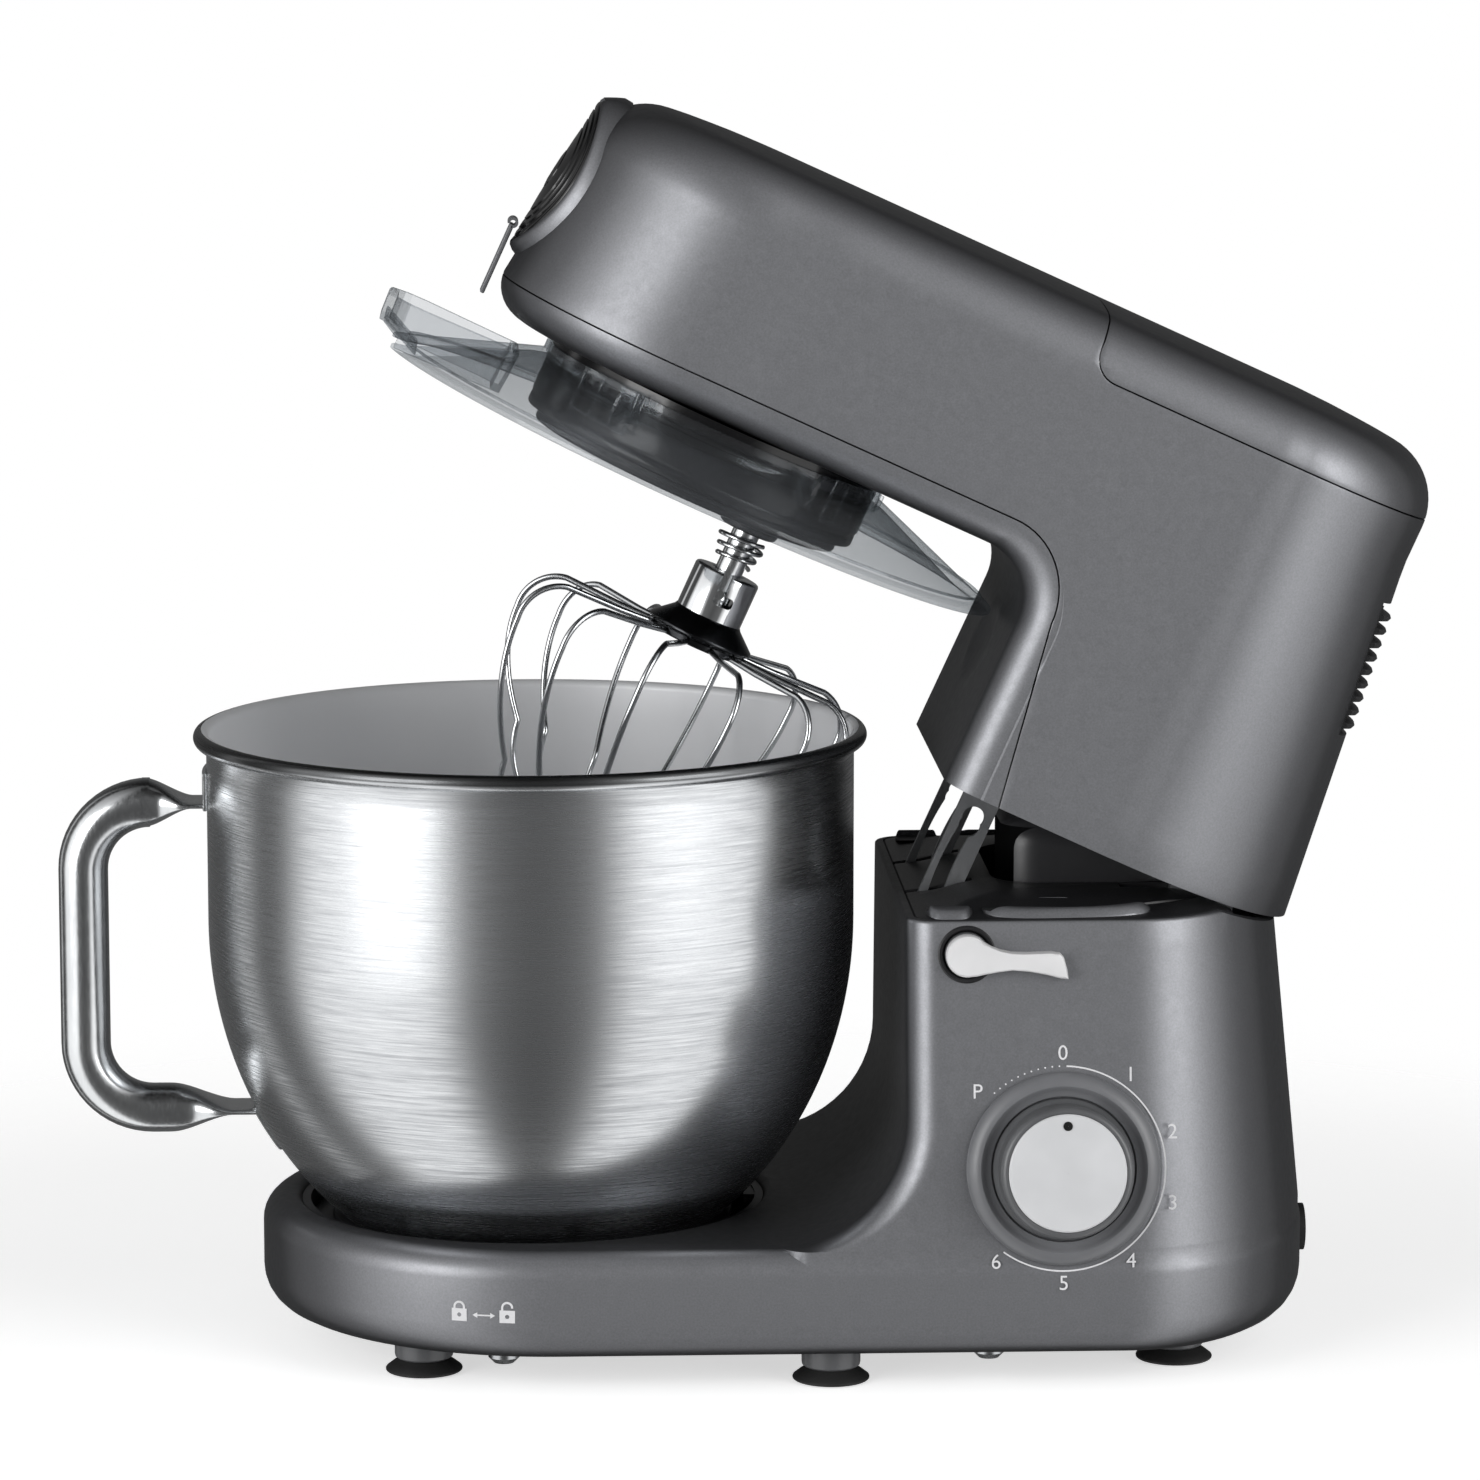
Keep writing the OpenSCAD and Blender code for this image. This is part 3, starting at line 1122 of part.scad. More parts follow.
base_shell();
base_plate();
suction_feet();
plate_screws();
bowl_lock_ring();
deck_cover();
hinge_turret();
hinge_shaft();
dial_bezel();
speed_switch();
control_board();
filter_capacitor();
safety_switch();
cord_gland();
lever_handle();
lever_rod();
lever_spring();
dial_knob();
dial_face();
head_upper_shell();
head_lower_shell();
rear_cover();
vent_louvres();
nose_ring();
head_chassis();
hinge_arms();
hinge_bushes();
lock_arms();
motor_stator();
motor_coils();
motor_posts();
motor_top_frame();
brush_holders();
gearbox_housing();
gearbox_lid();
shaft_bearings();
planet_housing();
ring_gear();
splash_guard();
drive_belt();
hub_cover();
hub_cover_tab();
motor_rotor();
cooling_fan();
motor_pulley();
drive_pulley();
drive_pinion();
main_gear();
main_spindle();
planet_carrier();
planet_gear();
tool_shaft();
tool_spring();
whisk_hub();
whisk_wires();
bowl_wear_disc();
bowl();
bowl_foot();
bowl_handle();
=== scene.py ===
"""Stand mixer with its head raised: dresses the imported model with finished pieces.

Each piece has an operator of its own, listed in the Mixer panel of the sidebar. Sizes are in millimetres
until a point is placed, and every head piece is drawn with the head closed and then turned about the hinge.
"""

import json
import math

import bmesh
import bpy
from mathutils import Matrix, Vector


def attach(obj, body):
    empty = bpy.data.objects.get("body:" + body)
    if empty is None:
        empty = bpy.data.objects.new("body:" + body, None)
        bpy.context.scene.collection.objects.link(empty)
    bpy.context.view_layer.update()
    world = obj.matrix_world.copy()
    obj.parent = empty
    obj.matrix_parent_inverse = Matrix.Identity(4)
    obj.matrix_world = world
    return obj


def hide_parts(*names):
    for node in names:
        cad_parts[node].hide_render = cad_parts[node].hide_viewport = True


bl_info = {
    "name": "Stand mixer dresser",
    "version": (1, 0, 0),
    "blender": (4, 5, 0),
    "location": "View3D > Sidebar > Mixer",
    "description": "Builds the finished pieces, materials and studio of a tilt-head stand mixer",
    "category": "Object",
}

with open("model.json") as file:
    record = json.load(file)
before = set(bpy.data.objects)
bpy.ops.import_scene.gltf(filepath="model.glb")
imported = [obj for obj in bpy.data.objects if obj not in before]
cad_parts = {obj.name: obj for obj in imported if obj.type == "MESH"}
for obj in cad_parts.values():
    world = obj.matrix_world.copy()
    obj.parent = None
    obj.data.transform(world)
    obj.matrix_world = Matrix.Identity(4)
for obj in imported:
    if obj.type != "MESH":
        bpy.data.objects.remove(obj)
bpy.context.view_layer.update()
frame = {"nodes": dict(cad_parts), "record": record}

MM = 0.001

# Places that several pieces share, in millimetres and with the head closed
DIAL = (182, 78)  # the speed dial on the column's near wall: x and height
LEVER = (149, 151.6)  # the lock lever's axis: x and height
BASE_TAIL, BASE_REAR = 205, 277  # where the round rear of the base begins and ends
BASE_ROUND = 9  # rounding of the base's top edge
FLARE = 44  # radius of the sweep from the base up into the column
NECK_TAIL = 185  # where the neck's round rear begins
NECK_FOOT = 165  # lower edge of the neck
SHELL_CUT = 300  # width of a cut right through the head
ORBIT = 27.5  # the whisk's axis, beside the drum's


# ---- Sizes ----

class MixerBodySizes(bpy.types.PropertyGroup):
    """Sizes of the head, the column and the base, in millimetres."""

    head_raise: bpy.props.FloatProperty(
        name="Head raise", description="Angle that the head stands open", default=24.5, min=0, max=25.5)
    hinge_x: bpy.props.FloatProperty(
        name="Hinge X", description="Hinge axis from the bowl's centre", default=232)
    hinge_z: bpy.props.FloatProperty(
        name="Hinge height", description="Hinge axis above the table", default=134.5)
    base_width: bpy.props.FloatProperty(name="Base width", description="Across the base", default=210)
    base_top: bpy.props.FloatProperty(
        name="Base top", description="Top of the base round the bowl", default=50)
    column_width: bpy.props.FloatProperty(
        name="Column width", description="Across the column's top", default=180)
    column_top: bpy.props.FloatProperty(name="Column top", description="Height of the column", default=163)
    column_front: bpy.props.FloatProperty(
        name="Column front", description="Column's front face", default=128.5)
    head_width: bpy.props.FloatProperty(name="Head width", description="Across the nose", default=138)
    neck_width: bpy.props.FloatProperty(name="Neck width", description="Across the neck", default=160)
    nose_x: bpy.props.FloatProperty(name="Nose", description="Front of the head", default=-89)
    head_bottom: bpy.props.FloatProperty(name="Head underside", description="Underside, closed", default=246)
    head_top: bpy.props.FloatProperty(name="Head top", description="Top of the head, closed", default=337)
    edge_round: bpy.props.FloatProperty(
        name="Top edge radius", description="Rounding of the top edge", default=24)
    lip_round: bpy.props.FloatProperty(
        name="Lower edge radius", description="Rounding of the lower edge", default=13)
    seam_z: bpy.props.FloatProperty(name="Seam height", description="Seam between the shells", default=258)
    wall: bpy.props.FloatProperty(name="Wall", description="Thickness of the mouldings", default=3)


class MixerBowlSizes(bpy.types.PropertyGroup):
    """Sizes of the bowl, the whisk and the guard, in millimetres."""

    bowl_r: bpy.props.FloatProperty(name="Bowl radius", description="Outside of the wall", default=115.4)
    rim_r: bpy.props.FloatProperty(name="Rim radius", description="Outside of the rolled rim", default=120)
    rim_z: bpy.props.FloatProperty(name="Rim height", description="Top of the rim", default=219)
    bowl_bottom: bpy.props.FloatProperty(name="Bowl bottom", description="Underside of the bowl", default=38)
    belly_z: bpy.props.FloatProperty(
        name="Belly height", description="Where the wall turns inwards", default=150)
    belly_h: bpy.props.FloatProperty(
        name="Belly depth", description="Half-axis of the round bottom", default=132.3)
    tube_r: bpy.props.FloatProperty(
        name="Handle tube", description="Radius of the handle's tube", default=8.85)
    handle_x: bpy.props.FloatProperty(
        name="Handle reach", description="Centre of the handle's bar", default=159.8)
    handle_top: bpy.props.FloatProperty(name="Handle top", description="Upper bar's height", default=192)
    handle_low: bpy.props.FloatProperty(name="Handle low", description="Lower bar's height", default=81)
    whisk_r: bpy.props.FloatProperty(name="Whisk radius", description="Widest loop", default=60)
    wire_d: bpy.props.FloatProperty(name="Wire", description="Diameter of the whisk's wire", default=2.2)
    loops: bpy.props.IntProperty(
        name="Loops", description="Wire loops in the whisk", default=6, min=4, max=8)
    guard_r: bpy.props.FloatProperty(name="Guard radius", description="Outside of the guard", default=117.6)
    drum_r: bpy.props.FloatProperty(name="Drum radius", description="Black drum under the head", default=63)


class MixerColours(bpy.types.PropertyGroup):
    """Finishes that a user would change."""

    paint: bpy.props.StringProperty(name="Body paint", description="sRGB hex of the body", default="77787b")
    moulding: bpy.props.StringProperty(
        name="Black moulding", description="sRGB hex of the black parts", default="1b1b1d")
    print_ink: bpy.props.StringProperty(
        name="Print", description="sRGB hex of the light marks", default="e6e6e8")


# ---- Working in edit mode ----

def deselect():
    if bpy.context.mode != "OBJECT":
        bpy.ops.object.mode_set(mode="OBJECT")
    bpy.ops.object.select_all(action="DESELECT")


def pick(*pieces):
    deselect()
    for piece in pieces:
        piece.select_set(True)
    bpy.context.view_layer.objects.active = pieces[0]
    return pieces[0]


def named(name):
    """The primitive just added, under its own name."""
    piece = bpy.context.view_layer.objects.active
    piece.name = piece.data.name = name
    return piece


def spot(co):
    return tuple(round(c, 7) for c in co)


def close_up(piece):
    """Merges doubles and turns all faces outwards."""
    pick(piece)
    bpy.ops.object.mode_set(mode="EDIT")
    bpy.ops.mesh.select_all(action="SELECT")
    bpy.ops.mesh.remove_doubles(threshold=1e-6)
    bpy.ops.mesh.normals_make_consistent(inside=False)
    bpy.ops.object.mode_set(mode="OBJECT")
    return piece


def loft(name, rings):
    """A filled circle drawn out ring by ring in edit mode; each ring is a list of points in millimetres."""
    deselect()
    count = len(rings[0])
    bpy.ops.mesh.primitive_circle_add(vertices=count, radius=1, fill_type="NGON")
    piece = named(name)
    bpy.ops.object.mode_set(mode="EDIT")
    mesh = bmesh.from_edit_mesh(piece.data)
    mesh.verts.ensure_lookup_table()
    last = list(mesh.verts)
    for corner, point in zip(last, rings[0]):
        corner.co = Vector(point) * MM
    for ring in rings[1:]:
        order = {spot(corner.co): i for i, corner in enumerate(last)}
        bmesh.update_edit_mesh(piece.data)
        bpy.ops.mesh.extrude_region_move()
        mesh = bmesh.from_edit_mesh(piece.data)
        last = [None] * count
        for corner in mesh.verts:
            if corner.select:
                last[order[spot(corner.co)]] = corner
        for corner, point in zip(last, ring):
            corner.co = Vector(point) * MM
    bmesh.update_edit_mesh(piece.data)
    bpy.ops.object.mode_set(mode="OBJECT")
    return close_up(piece)


def lathe(name, profile, steps=96, at=(0, 0), turn=360, start=0):
    """A closed profile of (radius, height) points spun about the upright axis through `at`.

    A radius of 0.1 stands for the axis. A part turn runs clockwise, seen from above, from the start angle.
    """
    deselect()
    bpy.ops.mesh.primitive_circle_add(vertices=len(profile), radius=1)
    piece = named(name)
    bpy.ops.object.mode_set(mode="EDIT")
    mesh = bmesh.from_edit_mesh(piece.data)
    mesh.verts.ensure_lookup_table()
    a = math.radians(start)
    for corner, (r, z) in zip(mesh.verts, profile):
        corner.co = Vector((at[0] + r * math.cos(a), at[1] + r * math.sin(a), z)) * MM
    bmesh.update_edit_mesh(piece.data)
    if turn < 360:
        bpy.ops.mesh.edge_face_add()
    bpy.ops.mesh.spin(steps=steps, angle=math.radians(turn), center=Vector((at[0], at[1], 0)) * MM,
                      axis=(0, 0, 1))
    if turn < 360:
        bpy.ops.mesh.select_all(action="SELECT")
    bpy.ops.object.mode_set(mode="OBJECT")
    return close_up(piece)


def prism(name, outline, low, high):
    """An outline in X and Y drawn up from low to high."""
    return loft(name, [[(x, y, z) for x, y in outline] for z in (low, high)])


def stack(name, plan, levels):
    """Plans at their heights, one on another: plan(inset) gives an outline, levels are (height, inset)."""
    return loft(name, [[(x, y, z) for x, y in plan(inset)] for z, inset in levels])


def side_cut(name, outline, width):
    """An outline in X and Z drawn across the middle plane, width wide."""
    return loft(name, [[(x, y, z) for x, z in outline] for y in (-width / 2, width / 2)])


def block(name, low, high, rounding=0.0):
    deselect()
    middle = (Vector(low) + Vector(high)) / 2 * MM
    bpy.ops.mesh.primitive_cube_add(size=1, location=middle, scale=(Vector(high) - Vector(low)) * MM)
    piece = named(name)
    bpy.ops.object.transform_apply(location=True, rotation=True, scale=True)
    return bevel(piece, rounding, 3) if rounding else piece


def pin(name, start, end, r, steps=48, rounding=0.0):
    """A round bar between two points."""
    deselect()
    a, b = Vector(start) * MM, Vector(end) * MM
    bpy.ops.mesh.primitive_cylinder_add(vertices=steps, radius=r * MM, depth=(b - a).length,
                                        location=(a + b) / 2)
    piece = named(name)
    piece.rotation_mode = "QUATERNION"
    piece.rotation_quaternion = (b - a).to_track_quat("Z", "Y")
    bpy.ops.object.transform_apply(location=True, rotation=True, scale=True)
    return bevel(piece, rounding, 3) if rounding else piece


def bevel(piece, width, steps=2, angle=35):
    pick(piece)
    soft = piece.modifiers.new("edge", "BEVEL")
    soft.width, soft.segments, soft.limit_method = width * MM, steps, "ANGLE"
    soft.angle_limit = math.radians(angle)
    soft.use_clamp_overlap = True
    bpy.ops.object.modifier_apply(modifier=soft.name)
    return piece


def boolean(piece, other, operation="DIFFERENCE", keep=False):
    pick(piece)
    cut = piece.modifiers.new("cut", "BOOLEAN")
    cut.object, cut.operation, cut.solver = other, operation, "EXACT"
    bpy.ops.object.modifier_apply(modifier=cut.name)
    if not keep:
        bpy.data.objects.remove(other)
    return piece


def joined(name, pieces):
    pick(*pieces)
    bpy.ops.object.join()
    return named(name)


def twin(piece, name):
    """A copy with a mesh of its own."""
    pick(piece)
    bpy.ops.object.duplicate()
    return named(name)


def turned(piece, angle, axis, about=(0, 0, 0)):
    """Turns the piece's own mesh about a point in millimetres."""
    centre = Matrix.Translation(Vector(about) * MM)
    piece.data.transform(centre @ Matrix.Rotation(math.radians(angle), 4, axis) @ centre.inverted())
    return piece


def raised(piece):
    """From where the piece is drawn, with the head closed, to where the raised head carries it."""
    body = bpy.context.scene.mixer_body
    return turned(piece, body.head_raise, "Y", (body.hinge_x, 0, body.hinge_z))


def finish(piece, material, body, replaces=(), head=False, smooth=32):
    """Shades the piece, gives it its finish and lets it ride on its body."""
    if head:
        raised(piece)
    pick(piece)
    bpy.ops.object.transform_apply(location=True, rotation=True, scale=True)
    bpy.ops.object.shade_smooth_by_angle(angle=math.radians(smooth))
    piece.data.materials.clear()
    piece.data.materials.append(material)
    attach(piece, body)
    if replaces:
        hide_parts(*replaces)
    return piece


# ---- Outlines, in millimetres ----

def arc(cx, cy, rx, ry, a0, a1, steps):
    angles = [math.radians(a0 + (a1 - a0) * i / steps) for i in range(steps + 1)]
    return [(cx + rx * math.cos(a), cy + ry * math.sin(a)) for a in angles]


def rounding_at(angle):
    """How far a unit quarter-round has turned in at an angle: along it, and across it."""
    a = math.radians(angle)
    return 1 - math.sin(a), 1 - math.cos(a)


def line(p, q, steps):
    """Points from p to q, without q."""
    return [tuple(a + (b - a) * i / steps for a, b in zip(p, q)) for i in range(steps)]


def mix(a, b, t):
    return a + (b - a) * t


def ease(t):
    t = min(1, max(0, t))
    return t * t * (3 - 2 * t)


# ---- Base and column ----

def wall_y(z):
    """Half-width of the column at a height: upright up to the base's top edge, then leaning in."""
    body = bpy.context.scene.mixer_body
    low = body.base_top - BASE_ROUND
    lean = (body.column_width - body.base_width) / 2 / (body.column_top - low)
    return body.base_width / 2 + lean * max(0, z - low)


def on_wall(piece, x, z):
    """Places a piece drawn round +Z on the column's near side, with +Z out of the leaning wall."""
    body = bpy.context.scene.mixer_body
    lean = math.degrees(math.atan((body.base_width - body.column_width) / 2
                                  / (body.column_top - body.base_top + BASE_ROUND)))
    piece.data.transform(Matrix.Translation(Vector((x, -wall_y(z), z)) * MM)
                         @ Matrix.Rotation(math.radians(90 - lean), 4, "X"))
    return piece


def base_outline(d):
    """Plan of the base, moved inwards by d: a round front about the bowl's side, and a flatter round rear."""
    body = bpy.context.scene.mixer_body
    tail, rear = BASE_TAIL, BASE_REAR
    half = body.base_width / 2
    return (arc(8, 0, half - d, half - d, 90, 270, 56)[:-1]
            + line((8, -half + d), (tail, -half + d), 36)
            + arc(tail, 0, rear - tail - d, half - d, -90, 90, 48)[:-1]
            + line((tail, half - d), (8, half - d), 36))


def column_outline(z, d):
    """Plan of the column at a height, moved inwards by d: a flat front with round corners, a round rear."""
    body = bpy.context.scene.mixer_body
    top = body.base_top + FLARE
    fall = FLARE - math.sqrt(max(0, FLARE ** 2 - max(0, top - z) ** 2))
    front = body.column_front - fall + d
    half = wall_y(z) - d
    tail = BASE_TAIL
    low = body.base_top - BASE_ROUND
    rear = BASE_REAR - 12 * max(0, z - low) / (body.column_top - low) - d
    bend = max(2, 11 - d)
    return (arc(front + bend, half - bend, bend, bend, 90, 180, 10)[:-1]
            + line((front, half - bend), (front, bend - half), 24)
            + arc(front + bend, bend - half, bend, bend, 180, 270, 10)[:-1]
            + line((front + bend, -half), (tail, -half), 22)
            + arc(tail, 0, rear - tail, half, -90, 90, 44)[:-1]
            + line((tail, half), (front + bend, half), 22))


def base_levels():
    """Levels of the base, from below: a round foot edge, an upright side and a round top edge."""
    top = bpy.context.scene.mixer_body.base_top
    low = [(12 + 13 * rise, 10.4 * inset) for rise, inset in map(rounding_at, range(90, -1, -15))]
    high = [(top - BASE_ROUND * drop, BASE_ROUND * inset)
            for drop, inset in map(rounding_at, range(0, 91, 10))]
    return low + high


def neck_relief(gap):
    """The neck's underside when raised, which the column's rear top edge makes room for."""
    return raised(block("neck_room", (223, -200, NECK_FOOT - gap), (423, 200, 265)))


def neck_seat(top, far=4.2):
    """The groove that the closed neck's lower edge stands in, cut into whatever rises above top."""
    near = 1.9  # room outside the neck's wall; far is the room inside it

    def plan(z, d):
        wide = half_width(NECK_TAIL, NECK_FOOT) - 0.7 + d
        half = [(x, half_width(x, NECK_FOOT) - 0.7 + d, z) for x in (120 - d, 140, 165)]
        half += [(NECK_TAIL + (75.5 + d) * math.sin(math.radians(a)), wide * math.cos(math.radians(a)), z)
                 for a in range(0, 90, 5)]
        return half + [(x, -y, z) for x, y, z in reversed(half)]

    outer = loft("seat", [plan(top, near), plan(top + 40, near)])
    return boolean(outer, loft("seat_core", [plan(top - 5, -far), plan(top + 45, -far)]))


class MIXER_OT_base(bpy.types.Operator):
    """Add the moulded base with its column"""

    bl_idname = "mixer.base"
    bl_label = "Base and column"

    def execute(self, context):
        body = context.scene.mixer_body
        paint = finishes()["paint"]
        shell = stack("base_moulding", base_outline, base_levels())
        sweep_top = body.base_top + FLARE
        heights = ([30, 40] + [sweep_top - FLARE * math.cos(math.radians(a)) for a in range(0, 91, 6)]
                   + [mix(sweep_top, body.column_top, t) for t in (0.12, 0.25, 0.4, 0.55, 0.7, 0.85)])
        top, edge = body.column_top, 1.2
        levels = [(z, 0) for z in heights]
        levels += [(top - edge * drop, edge * inset) for drop, inset in map(rounding_at, (0, 30, 60, 90))]
        column = loft("column", [[(x, y, z) for x, y in column_outline(max(z, body.base_top), d)]
                                 for z, d in levels])
        boolean(shell, column, "UNION")
        boolean(shell, stack("room", base_outline, [(11, 15), (25, body.wall),
                                                    (body.base_top - BASE_ROUND, body.wall), (47, 10)]))
        boolean(shell, loft("column_room", [[(x, y, z) for x, y in column_outline(max(z, 60), body.wall)]
                                            for z in (40, 60, 70, 80, 94, 130, top + 2)]))
        cup = pin("cup", (0, 0, 32), (0, 0, 48.5), 86, 128)
        boolean(shell, cup, "UNION")
        boolean(shell, recess_cutter())
        boolean(shell, neck_relief(2))
        boolean(shell, on_wall(pin("bore", (0, 0, -40), (0, 0, 12), 3.4, 96), *DIAL))
        x, z = LEVER
        boolean(shell, pin("boss_hole", (x, -96, z), (x, -86, z), 8.4))
        boolean(shell, pin("cord_hole", (260, 0, 33), (290, 0, 33), 6))
        bevel(shell, 0.6, 2, 40)
        finish(shell, paint, "base_unit", ["base_shell"], smooth=38)
        return {"FINISHED"}


def recess_cutter():
    """The round recess that the bowl stands in, with its rim rounded over."""
    top = bpy.context.scene.mixer_body.base_top
    r, edge = 83, 3
    profile = [(0, 35), (r, 35), (r, top - edge)]
    for a in map(math.radians, (30, 60, 88)):
        profile.append((r + edge * (1 - math.cos(a)), top - edge + edge * math.sin(a) + 0.01))
    profile += [(86.4, top + 20), (0, top + 20)]
    return lathe("recess", profile, 160)


class MIXER_OT_deck(bpy.types.Operator):
    """Add the black deck on the column, its pads and the hinge housing"""

    bl_idname = "mixer.deck"
    bl_label = "Deck and hinge housing"

    def execute(self, context):
        body = context.scene.mixer_body
        kit = finishes()
        top = body.column_top
        levels = [(top - 3, 3.3), (top - 0.6, 3.3), (top - 0.1, 3.8), (top + 0.4, 8), (top + 0.9, 13),
                  (top + 1.8, 17), (top + 3.3, 22), (top + 4.4, 28), (top + 4.9, 35)]
        deck = stack("deck_dome", lambda d: column_outline(top, d), levels)
        boolean(deck, neck_relief(2))
        slots = [block("slot", (206, s * 47.7 - 4, 100), (266, s * 47.7 + 4, 200)) for s in (-1, 1)]
        slots += [block("slot", (129.7, s * 30 - 2.6, 100), (155.7, s * 30 + 2.6, 200)) for s in (-1, 1)]
        for slot in slots:
            boolean(deck, slot)
        boolean(deck, prism("housing_room", housing_outline(-0.4), 100, 200))
        boolean(deck, neck_seat(body.column_top + 1.7))
        bevel(deck, 0.5, 2, 40)
        finish(deck, kit["moulding"], "base_unit", ["deck_cover"])
        for side in (-1, 1):
            for name, x0, x1 in (("pad_front", 136, 152), ("pad_rear", 155.5, 214)):
                pad = deck_pad(f"{name}_{'near' if side < 0 else 'far'}", x0, x1, side)
                boolean(pad, neck_seat(body.column_top + 1.7, 14))
                finish(pad, kit["paint"], "base_unit")
        housing = stack("hinge_housing", housing_outline, [(112, 0), (130, 0), (150, 0), (170, 0)] + [
            (190 - 10 * drop, 10 * inset) for drop, inset in map(rounding_at, range(0, 91, 15))])
        boolean(housing, block("under", (150, -39, 100), (249, 39, 187)))
        x, z = body.hinge_x, body.hinge_z
        boolean(housing, pin("shaft_hole", (x, -60, z), (x, 60, z), 6.1))
        finish(housing, kit["housing"], "base_unit", ["hinge_turret"])
        return {"FINISHED"}


def housing_outline(d):
    """Plan of the hinge housing, moved inwards by d."""
    return (arc(179, 26, 16 - d, 16 - d, 90, 180, 12)[:-1] + line((163 + d, 26), (163 + d, -26), 8)
            + arc(179, -26, 16 - d, 16 - d, 180, 270, 12)[:-1] + line((179, -42 + d), (205, -42 + d), 6)
            + arc(205, 0, 47 - d, 42 - d, -90, 90, 36)[:-1] + line((205, 42 - d), (179, 42 - d), 6))


def deck_pad(name, x0, x1, side):
    """A long lens that lies on the deck's slope."""
    body = bpy.context.scene.mixer_body
    rings = []
    middle, half = (x0 + x1) / 2, (x1 - x0) / 2
    for t in (0.0, 0.35, 0.7, 0.9, 1.0):
        lift = 2.6 * math.cos(t * math.pi / 2)
        ring = []
        for i in range(64):
            a = 2 * math.pi * i / 64
            u = math.copysign(abs(math.cos(a)) ** 0.55, math.cos(a)) * mix(1, 0.86, 1 - t)
            v = math.copysign(abs(math.sin(a)) ** 0.9, math.sin(a)) * mix(1, 0.7, 1 - t)
            y = 75.5 + v * 11 * (1 - 0.25 * (u + 1) / 2 * (1 if half > 10 else 0))
            slope = (85 - y) * 0.21
            ring.append((middle + half * u, side * y, body.column_top + 0.1 + slope * 0.9 + lift))
        rings.append(ring)
    rings = rings[::-1]
    rings.insert(0, [(x, y, z - 1.6) for x, y, z in rings[0]])
    return loft(name, rings)


class MIXER_OT_feet(bpy.types.Operator):
    """Add the suction feet and their grey stems"""

    bl_idname = "mixer.feet"
    bl_label = "Suction feet"

    def execute(self, context):
        kit = finishes()
        profile = [(0.1, 1.6), (8.5, 1.1), (11.2, 0.1)]
        profile += [(13.5 - 0.4 + 0.4 * math.cos(math.radians(a)), 0.6 + 0.6 * math.sin(math.radians(a)))
                    for a in (-80, -30, 20, 60)]
        profile += [(11, 2.9), (9.2, 4.0), (7.8, 5.2), (7.0, 7.0), (7.0, 8.6), (8.2, 9.6), (8.4, 12.0),
                    (4, 12.0), (4, 15), (0.1, 15)]
        first = lathe("foot", profile, 48)
        stem = lathe("foot_stem", [(0.1, 4.6), (9.4, 4.6), (10.1, 5.2), (10.3, 6.2), (10.3, 13),
                                   (0.1, 13)], 64)
        feet, stems = [], []
        for i, (x, y) in enumerate([(-39, 64), (103, 82), (226, 58)]):
            for side in (-1, 1):
                place = f"{i}_{'near' if side < 0 else 'far'}"
                for pieces, source in ((feet, first), (stems, stem)):
                    pieces.append(twin(source, f"{source.name}_{place}"))
                    pieces[-1].data.transform(Matrix.Translation(Vector((x, side * y, 0)) * MM))
        bpy.data.objects.remove(first)
        bpy.data.objects.remove(stem)
        for piece in stems:
            finish(piece, kit["knob"], "base_unit")
        for i, foot in enumerate(feet):
            finish(foot, kit["rubber"], "base_unit", ["suction_feet"] if i == 0 else ())
        return {"FINISHED"}


# ---- Dial and lever ----

class MIXER_OT_dial(bpy.types.Operator):
    """Add the speed dial, its ring and the dot on its face"""

    bl_idname = "mixer.dial"
    bl_label = "Speed dial"

    def execute(self, context):
        kit = finishes()
        ring = lathe("dial_ring", [
            (25.2, 0), (33.5, 0), (33.5, 0.8), (33.1, 1.9), (32.2, 3.0), (31, 3.9), (29.8, 4.4), (28.8, 4.6),
            (28.2, 4.3), (27.6, 3.6), (26.6, 2.9), (25.2, 2.4)], 128)
        finish(on_wall(ring, *DIAL), kit["satin_grey"], "base_unit", ["dial_bezel"])
        r = 24.5
        knob = lathe("dial_grip", [
            (0.1, 0.8), (r, 0.8), (r, 2.6), (r - 0.3, 3.4), (r - 1.3, 4.6), (r - 1.6, 5.6), (r - 1.6, 14.8),
            (r - 1.9, 15.9), (r - 2.6, 16.7), (r - 3.4, 17.0), (r - 4.0, 16.9), (r - 4.1, 16.0),
            (0.1, 16)], 128)
        finish(on_wall(knob, *DIAL), kit["knob"], "speed_dial", ["dial_knob"])
        face = lathe("dial_disc", [(0.1, 15.9), (r - 4.2, 15.9), (r - 4.2, 16.9), (r - 4.7, 17.25),
                                   (0.1, 17.35)], 128)
        finish(on_wall(face, *DIAL), kit["disc"], "speed_dial", ["dial_face"])
        dot = lathe("dial_dot", [(0.1, 17.2), (1.6, 17.2), (1.6, 17.5), (0.1, 17.6)], 32, (0, r - 8.3))
        finish(on_wall(dot, *DIAL), kit["black_ink"], "speed_dial")
        return {"FINISHED"}


def wall_print(piece):
    """Flat marks drawn round the dial on the column's near wall."""
    pick(piece)
    bpy.ops.object.convert(target="MESH")
    piece = bpy.context.view_layer.objects.active
    bpy.ops.object.transform_apply(location=True, rotation=True, scale=True)
    solid = piece.modifiers.new("ink", "SOLIDIFY")
    solid.thickness, solid.offset = 0.12 * MM, 1
    bpy.ops.object.modifier_apply(modifier=solid.name)
    return on_wall(piece, *DIAL)


